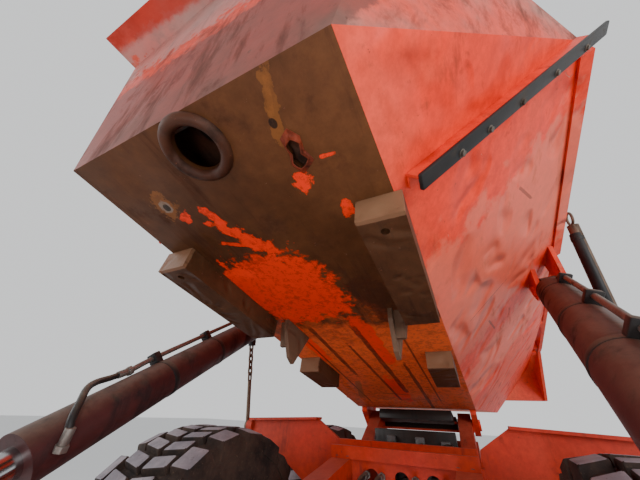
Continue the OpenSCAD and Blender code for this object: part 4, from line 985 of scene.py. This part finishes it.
shell_seals = [
    seal(facing((PIVOT_X + 0.865, -0.78, 2.3), (1, 0, 0), (0, -1, 0), (0, 0, 1)), 1.07, 0.92),
    seal(facing((PIVOT_X + 0.25, 0, 2.25), (0, 1, 0), (-1, 0, 0), (0, 0, 1)), 1.3, 0.97),
]
slope = Vector((-0.22, 0, 0.96)).normalized()
off_pane = (slope.z, 0, -slope.x)
pane = Vector((PIVOT_X + 1.75, 0, 2.35)) + slope * 0.055
shell_seals.append(seal(facing(pane, (0, 1, 0), off_pane, slope), 1.34, 0.815))
put(joined(shell_seals), "window_seals", "front_unit", "plastic")
door_seal = seal(facing((PIVOT_X + 0.705, 0.78, 2.25), (1, 0, 0), (0, 1, 0), (0, 0, 1)), 0.57, 0.9)
put(door_seal, "door_window_seal", "cab_door", "plastic")
handle = joined([
    block((PIVOT_X + 0.93, 0.781, 2.02), (PIVOT_X + 1.05, 0.792, 2.1), 0.004),
    block((PIVOT_X + 0.945, 0.79, 2.05), (PIVOT_X + 0.965, 0.83, 2.075), 0.004),
    block((PIVOT_X + 0.945, 0.815, 2.05), (PIVOT_X + 1.04, 0.83, 2.075), 0.005),
])
put(handle, "door_handle", "cab_door", "plastic")


def rail(points, radius=0.017):
    return tube(smooth_line(points, 40)[0], radius)


bars = []
for side in (1, -1):
    y = side * 1.39
    x0, x1 = FRONT_X + (-0.34 if side > 0 else -0.86), FRONT_X + 0.86
    post = (x0 + x1) / 2
    bars.append(rail([
        (x0, y, 1.66), (x0, y, 2.35), (x0 + 0.05, y, 2.44), (x0 + 0.14, y, 2.47),
        (x1 - 0.14, y, 2.47), (x1 - 0.05, y, 2.44), (x1, y, 2.35), (x1, y, 1.66),
    ]))
    bars.append(rail([(x0, y, 2.06), (post, y, 2.06), (x1, y, 2.06)], 0.013))
    bars.append(rail([(post, y, 1.66), (post, y, 2.06), (post, y, 2.465)], 0.015))
put(joined(bars), "deck_rails", "front_unit", "plastic")
grips = []
for x, z0, z1 in ((PIVOT_X + 1.2, 1.9, 2.85), (PIVOT_X + 1.45, 1.8, 2.25)):
    grips.append(rail([
        (x, 0.776, z0), (x, 0.83, z0 + 0.01), (x, 0.845, z0 + 0.06),
        (x, 0.845, z1 - 0.06), (x, 0.83, z1 - 0.01), (x, 0.776, z1),
    ], 0.014))
put(joined(grips), "cab_grips", "front_unit", "plastic")


def round_lamp(radius):
    """A lamp body that faces +Z: a dished can with a rim, and its lens."""
    can = cylinder(32, radius, radius * 0.9, -radius * 0.45)
    open_mesh(can, "DESELECT")
    pick_faces(can, lambda face: face.normal.z > 0.9)
    bpy.ops.mesh.inset(thickness=radius * 0.1)
    bpy.ops.mesh.extrude_region_move(TRANSFORM_OT_translate={"value": (0, 0, -radius * 0.12)})
    bpy.ops.mesh.select_all(action="DESELECT")
    pick_faces(can, lambda face: face.normal.z < -0.9)
    bpy.ops.transform.resize(value=(0.6, 0.6, 1))
    close_mesh()
    rounded(can, radius * 0.04, 2, 35)
    deselect()
    bpy.ops.mesh.primitive_uv_sphere_add(segments=28, ring_count=14, radius=radius * 0.89, location=(0, 0, 0))
    lens = bpy.context.object
    lens.scale = (1, 1, 0.22)
    moved(settle(lens), 0, 0, -radius * 0.1)
    bpy.ops.object.shade_smooth()
    return can, lens


def lamps_at(name, body, spots, radius, lens_finish="lens"):
    can, lens = round_lamp(radius)
    turns = [pointing(place, way) for place, way in spots]
    put(copied(can, turns), name, body, "plastic")
    put(copied(lens, turns), name + "_lenses", body, lens_finish)


def lens_material(name, colour):
    material, tree, shader = finish_for(name)
    here = node(tree, "ShaderNodeTexCoord").outputs["Object"]
    ribs = node(tree, "ShaderNodeTexWave", {"Vector": here, "Scale": 22.0, "Distortion": 0.5}).outputs["Fac"]
    shaded = mix(tree, ribs, colour, tuple(c * 0.8 for c in colour[:3]) + (1,))
    filled(tree, shader, {"Base Color": shaded, "Roughness": 0.12, "Coat Weight": 0.5})
    bump(tree, shader, ribs, 0.001)
    return material


MATERIALS["lens"] = lens_material("lamp_lens", rgb(214, 218, 220))
MATERIALS["amber"] = lens_material("amber_lens", rgb(236, 140, 30))
MATERIALS["red_lens"] = lens_material("red_lens", rgb(176, 26, 24))
HEADLAMP_Y = (-0.98, -0.76, 0.76, 0.98)
ROOF_LAMP_Y = (-0.6, -0.36, 0.36, 0.6)
lamps_at("headlamps", "front_unit", [((NOSE_X - 0.04, y, 1.16), (1, 0, 0)) for y in HEADLAMP_Y], 0.085)
feet = [block((NOSE_X - 0.12, y - 0.03, 1.055), (NOSE_X - 0.05, y + 0.03, 1.09), 0.005) for y in HEADLAMP_Y]
put(joined(feet), "headlamp_feet", "front_unit", "frame_dark")
lamps_at("roof_lamps", "front_unit", [((PIVOT_X + 1.66, y, 3.36), (1, 0, -0.2)) for y in ROOF_LAMP_Y], 0.06)
feet = [block((PIVOT_X + 1.56, y - 0.02, 3.305), (PIVOT_X + 1.63, y + 0.02, 3.35), 0.004) for y in ROOF_LAMP_Y]
feet.append(block((PIVOT_X + 1.555, -0.66, 3.285), (PIVOT_X + 1.635, 0.66, 3.312), 0.005))
put(joined(feet), "roof_lamp_bar", "front_unit", "plastic")
places = [(REAR @ Vector((-0.25, y, -0.32)), (-1, 0, 0)) for y in (-0.414, 0.414)]
lamps_at("tail_lamps", "rear_unit", places, 0.05, "red_lens")
beacon = joined([pin(0.062, 0.03, 28, 0.004), pin(0.048, 0.05, 28, 0.004)])
put(moved(beacon, PIVOT_X + 0.62, 0.3, 3.412), "beacon_foot", "front_unit", "plastic")
dome = moved(pin(0.05, 0.11, 32, 0.022), PIVOT_X + 0.62, 0.3, 3.485)
put(dome, "beacon_dome", "front_unit", "amber")
plates = [block((PIVOT_X + 1.782, side * 1.3 - 0.09, 2.32), (PIVOT_X + 1.7895, side * 1.3 + 0.09, 2.73), 0.003)
          for side in (1, -1)]
put(joined(plates), "mirror_plates", "front_unit", "mirror_glass")
wipers = []
lean = 0.22
for y in (0.35, -0.35):
    face = facing(Vector((PIVOT_X + 1.75, y, 2.35)) + slope * 0.02, (0, 1, 0), off_pane, slope)
    arm = ((0, 0.01, 0), (lean * 0.3, 0.03, 0.2), (lean, 0.026, 0.5))
    wipers.append(tube([face @ Vector(p) for p in arm], 0.007))
    wipers.append(block((lean - 0.012, 0.008, 0.18), (lean + 0.012, 0.022, 0.7), 0.003, face))
    knob = pin(0.022, 0.03, 20, 0.004)
    knob.data.transform(face @ Matrix.Translation((0, 0.01, 0)) @ Matrix.Rotation(math.pi / 2, 4, "X"))
    wipers.append(knob)
put(joined(wipers), "wipers", "front_unit", "plastic")


# Seat: pedestal with bellows, and two stuffed cushions
def cushion(low, high, crown):
    """A closed stuffed form: crowned faces whose sides pull in towards the corners."""
    deselect()
    low, high = Vector(low), Vector(high)
    bpy.ops.mesh.primitive_cube_add(size=2)
    made = bpy.context.object
    open_mesh(made)
    bpy.ops.mesh.subdivide(number_cuts=7)
    close_mesh()
    half = (high - low) / 2
    for v in made.data.vertices:
        p = v.co.copy()
        out = Vector()
        for k in range(3):
            others = [j for j in range(3) if j != k]
            fall = (1 - p[others[0]] ** 2) * (1 - p[others[1]] ** 2)
            out[k] = p[k] * (half[k] - crown * (1 - abs(p[k]) ** 6 * fall))
        groove = 0.006 if abs(abs(p[1]) - 0.5) < 0.01 and p[2] > 0.9 else 0
        v.co = (low + high) / 2 + out - Vector((0, 0, groove))
    applied(made, "SUBSURF", levels=1, render_levels=1)
    bpy.ops.object.shade_smooth()
    return made


SEAT = Matrix.Translation((PIVOT_X + 0.77, 0, 1.67))
post = pin(0.11, 0.33, 32, 0.01)
bellows = copied(pin(0.125, 0.03, 32, 0.012), [Matrix.Translation((0, 0, -0.1 + 0.05 * i)) for i in range(5)])
post = joined([post, bellows])
post.data.transform(SEAT @ Matrix.Translation((0, 0, 0.166)))
put(post, "seat_pedestal", "front_unit", "plastic")
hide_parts("cab_seat")
base = cushion((-0.2, -0.245, 0.325), (0.265, 0.245, 0.45), 0.02)
base.data.transform(SEAT)
put(base, "seat_cushion", "front_unit", "seat")
back = cushion((-0.3, -0.235, 0.4), (-0.185, 0.235, 1.045), 0.02)
back.data.transform(SEAT)
put(back, "seat_back", "front_unit", "seat")

# Pale plain floor, soft world and lamps
deselect()
bpy.ops.mesh.primitive_plane_add(size=120, location=(0, 0, 0))
floor = bpy.context.object
floor.name = "studio_floor"
material, tree, shader = finish_for("studio_floor")
filled(tree, shader, {"Base Color": (0.78, 0.78, 0.77, 1), "Roughness": 0.9})
floor.data.materials.append(material)

world = bpy.data.worlds.new("studio")
bpy.context.scene.world = world
world.use_nodes = True
tree = world.node_tree
path = node(tree, "ShaderNodeLightPath").outputs
mirrored = maths(tree, "MAXIMUM", path["Is Glossy Ray"], path["Is Transmission Ray"])
seen = maths(tree, "MAXIMUM", path["Is Camera Ray"], mirrored)
shown = node(tree, "ShaderNodeBackground", {"Color": (0.93, 0.94, 0.95, 1), "Strength": 1.0}).outputs[0]
light = node(tree, "ShaderNodeBackground", {"Color": (0.95, 0.97, 1.0, 1), "Strength": 0.75}).outputs[0]
blend = node(tree, "ShaderNodeMixShader", {0: seen, 1: light, 2: shown}).outputs[0]
tree.links.new(blend, tree.nodes["World Output"].inputs["Surface"])


def lamp(name, place, target, power, size):
    data = bpy.data.lights.new(name, "AREA")
    data.energy = power
    data.size = size
    made = new_object(name, data)
    made.location = place
    made.rotation_mode = "QUATERNION"
    made.rotation_quaternion = (Vector(target) - Vector(place)).to_track_quat("-Z", "Y")


lamp("key", (3.5, 6.5, 3.2), (-0.8, 0.4, 2.2), 420, 4.0)
lamp("low", (0.9, 0.2, 0.5), (-1.2, 0.1, 2.4), 60, 1.2)
lamp("fill", (2.5, -7.0, 3.5), (-0.8, -0.4, 2.2), 260, 5.0)

bpy.context.view_layer.update()
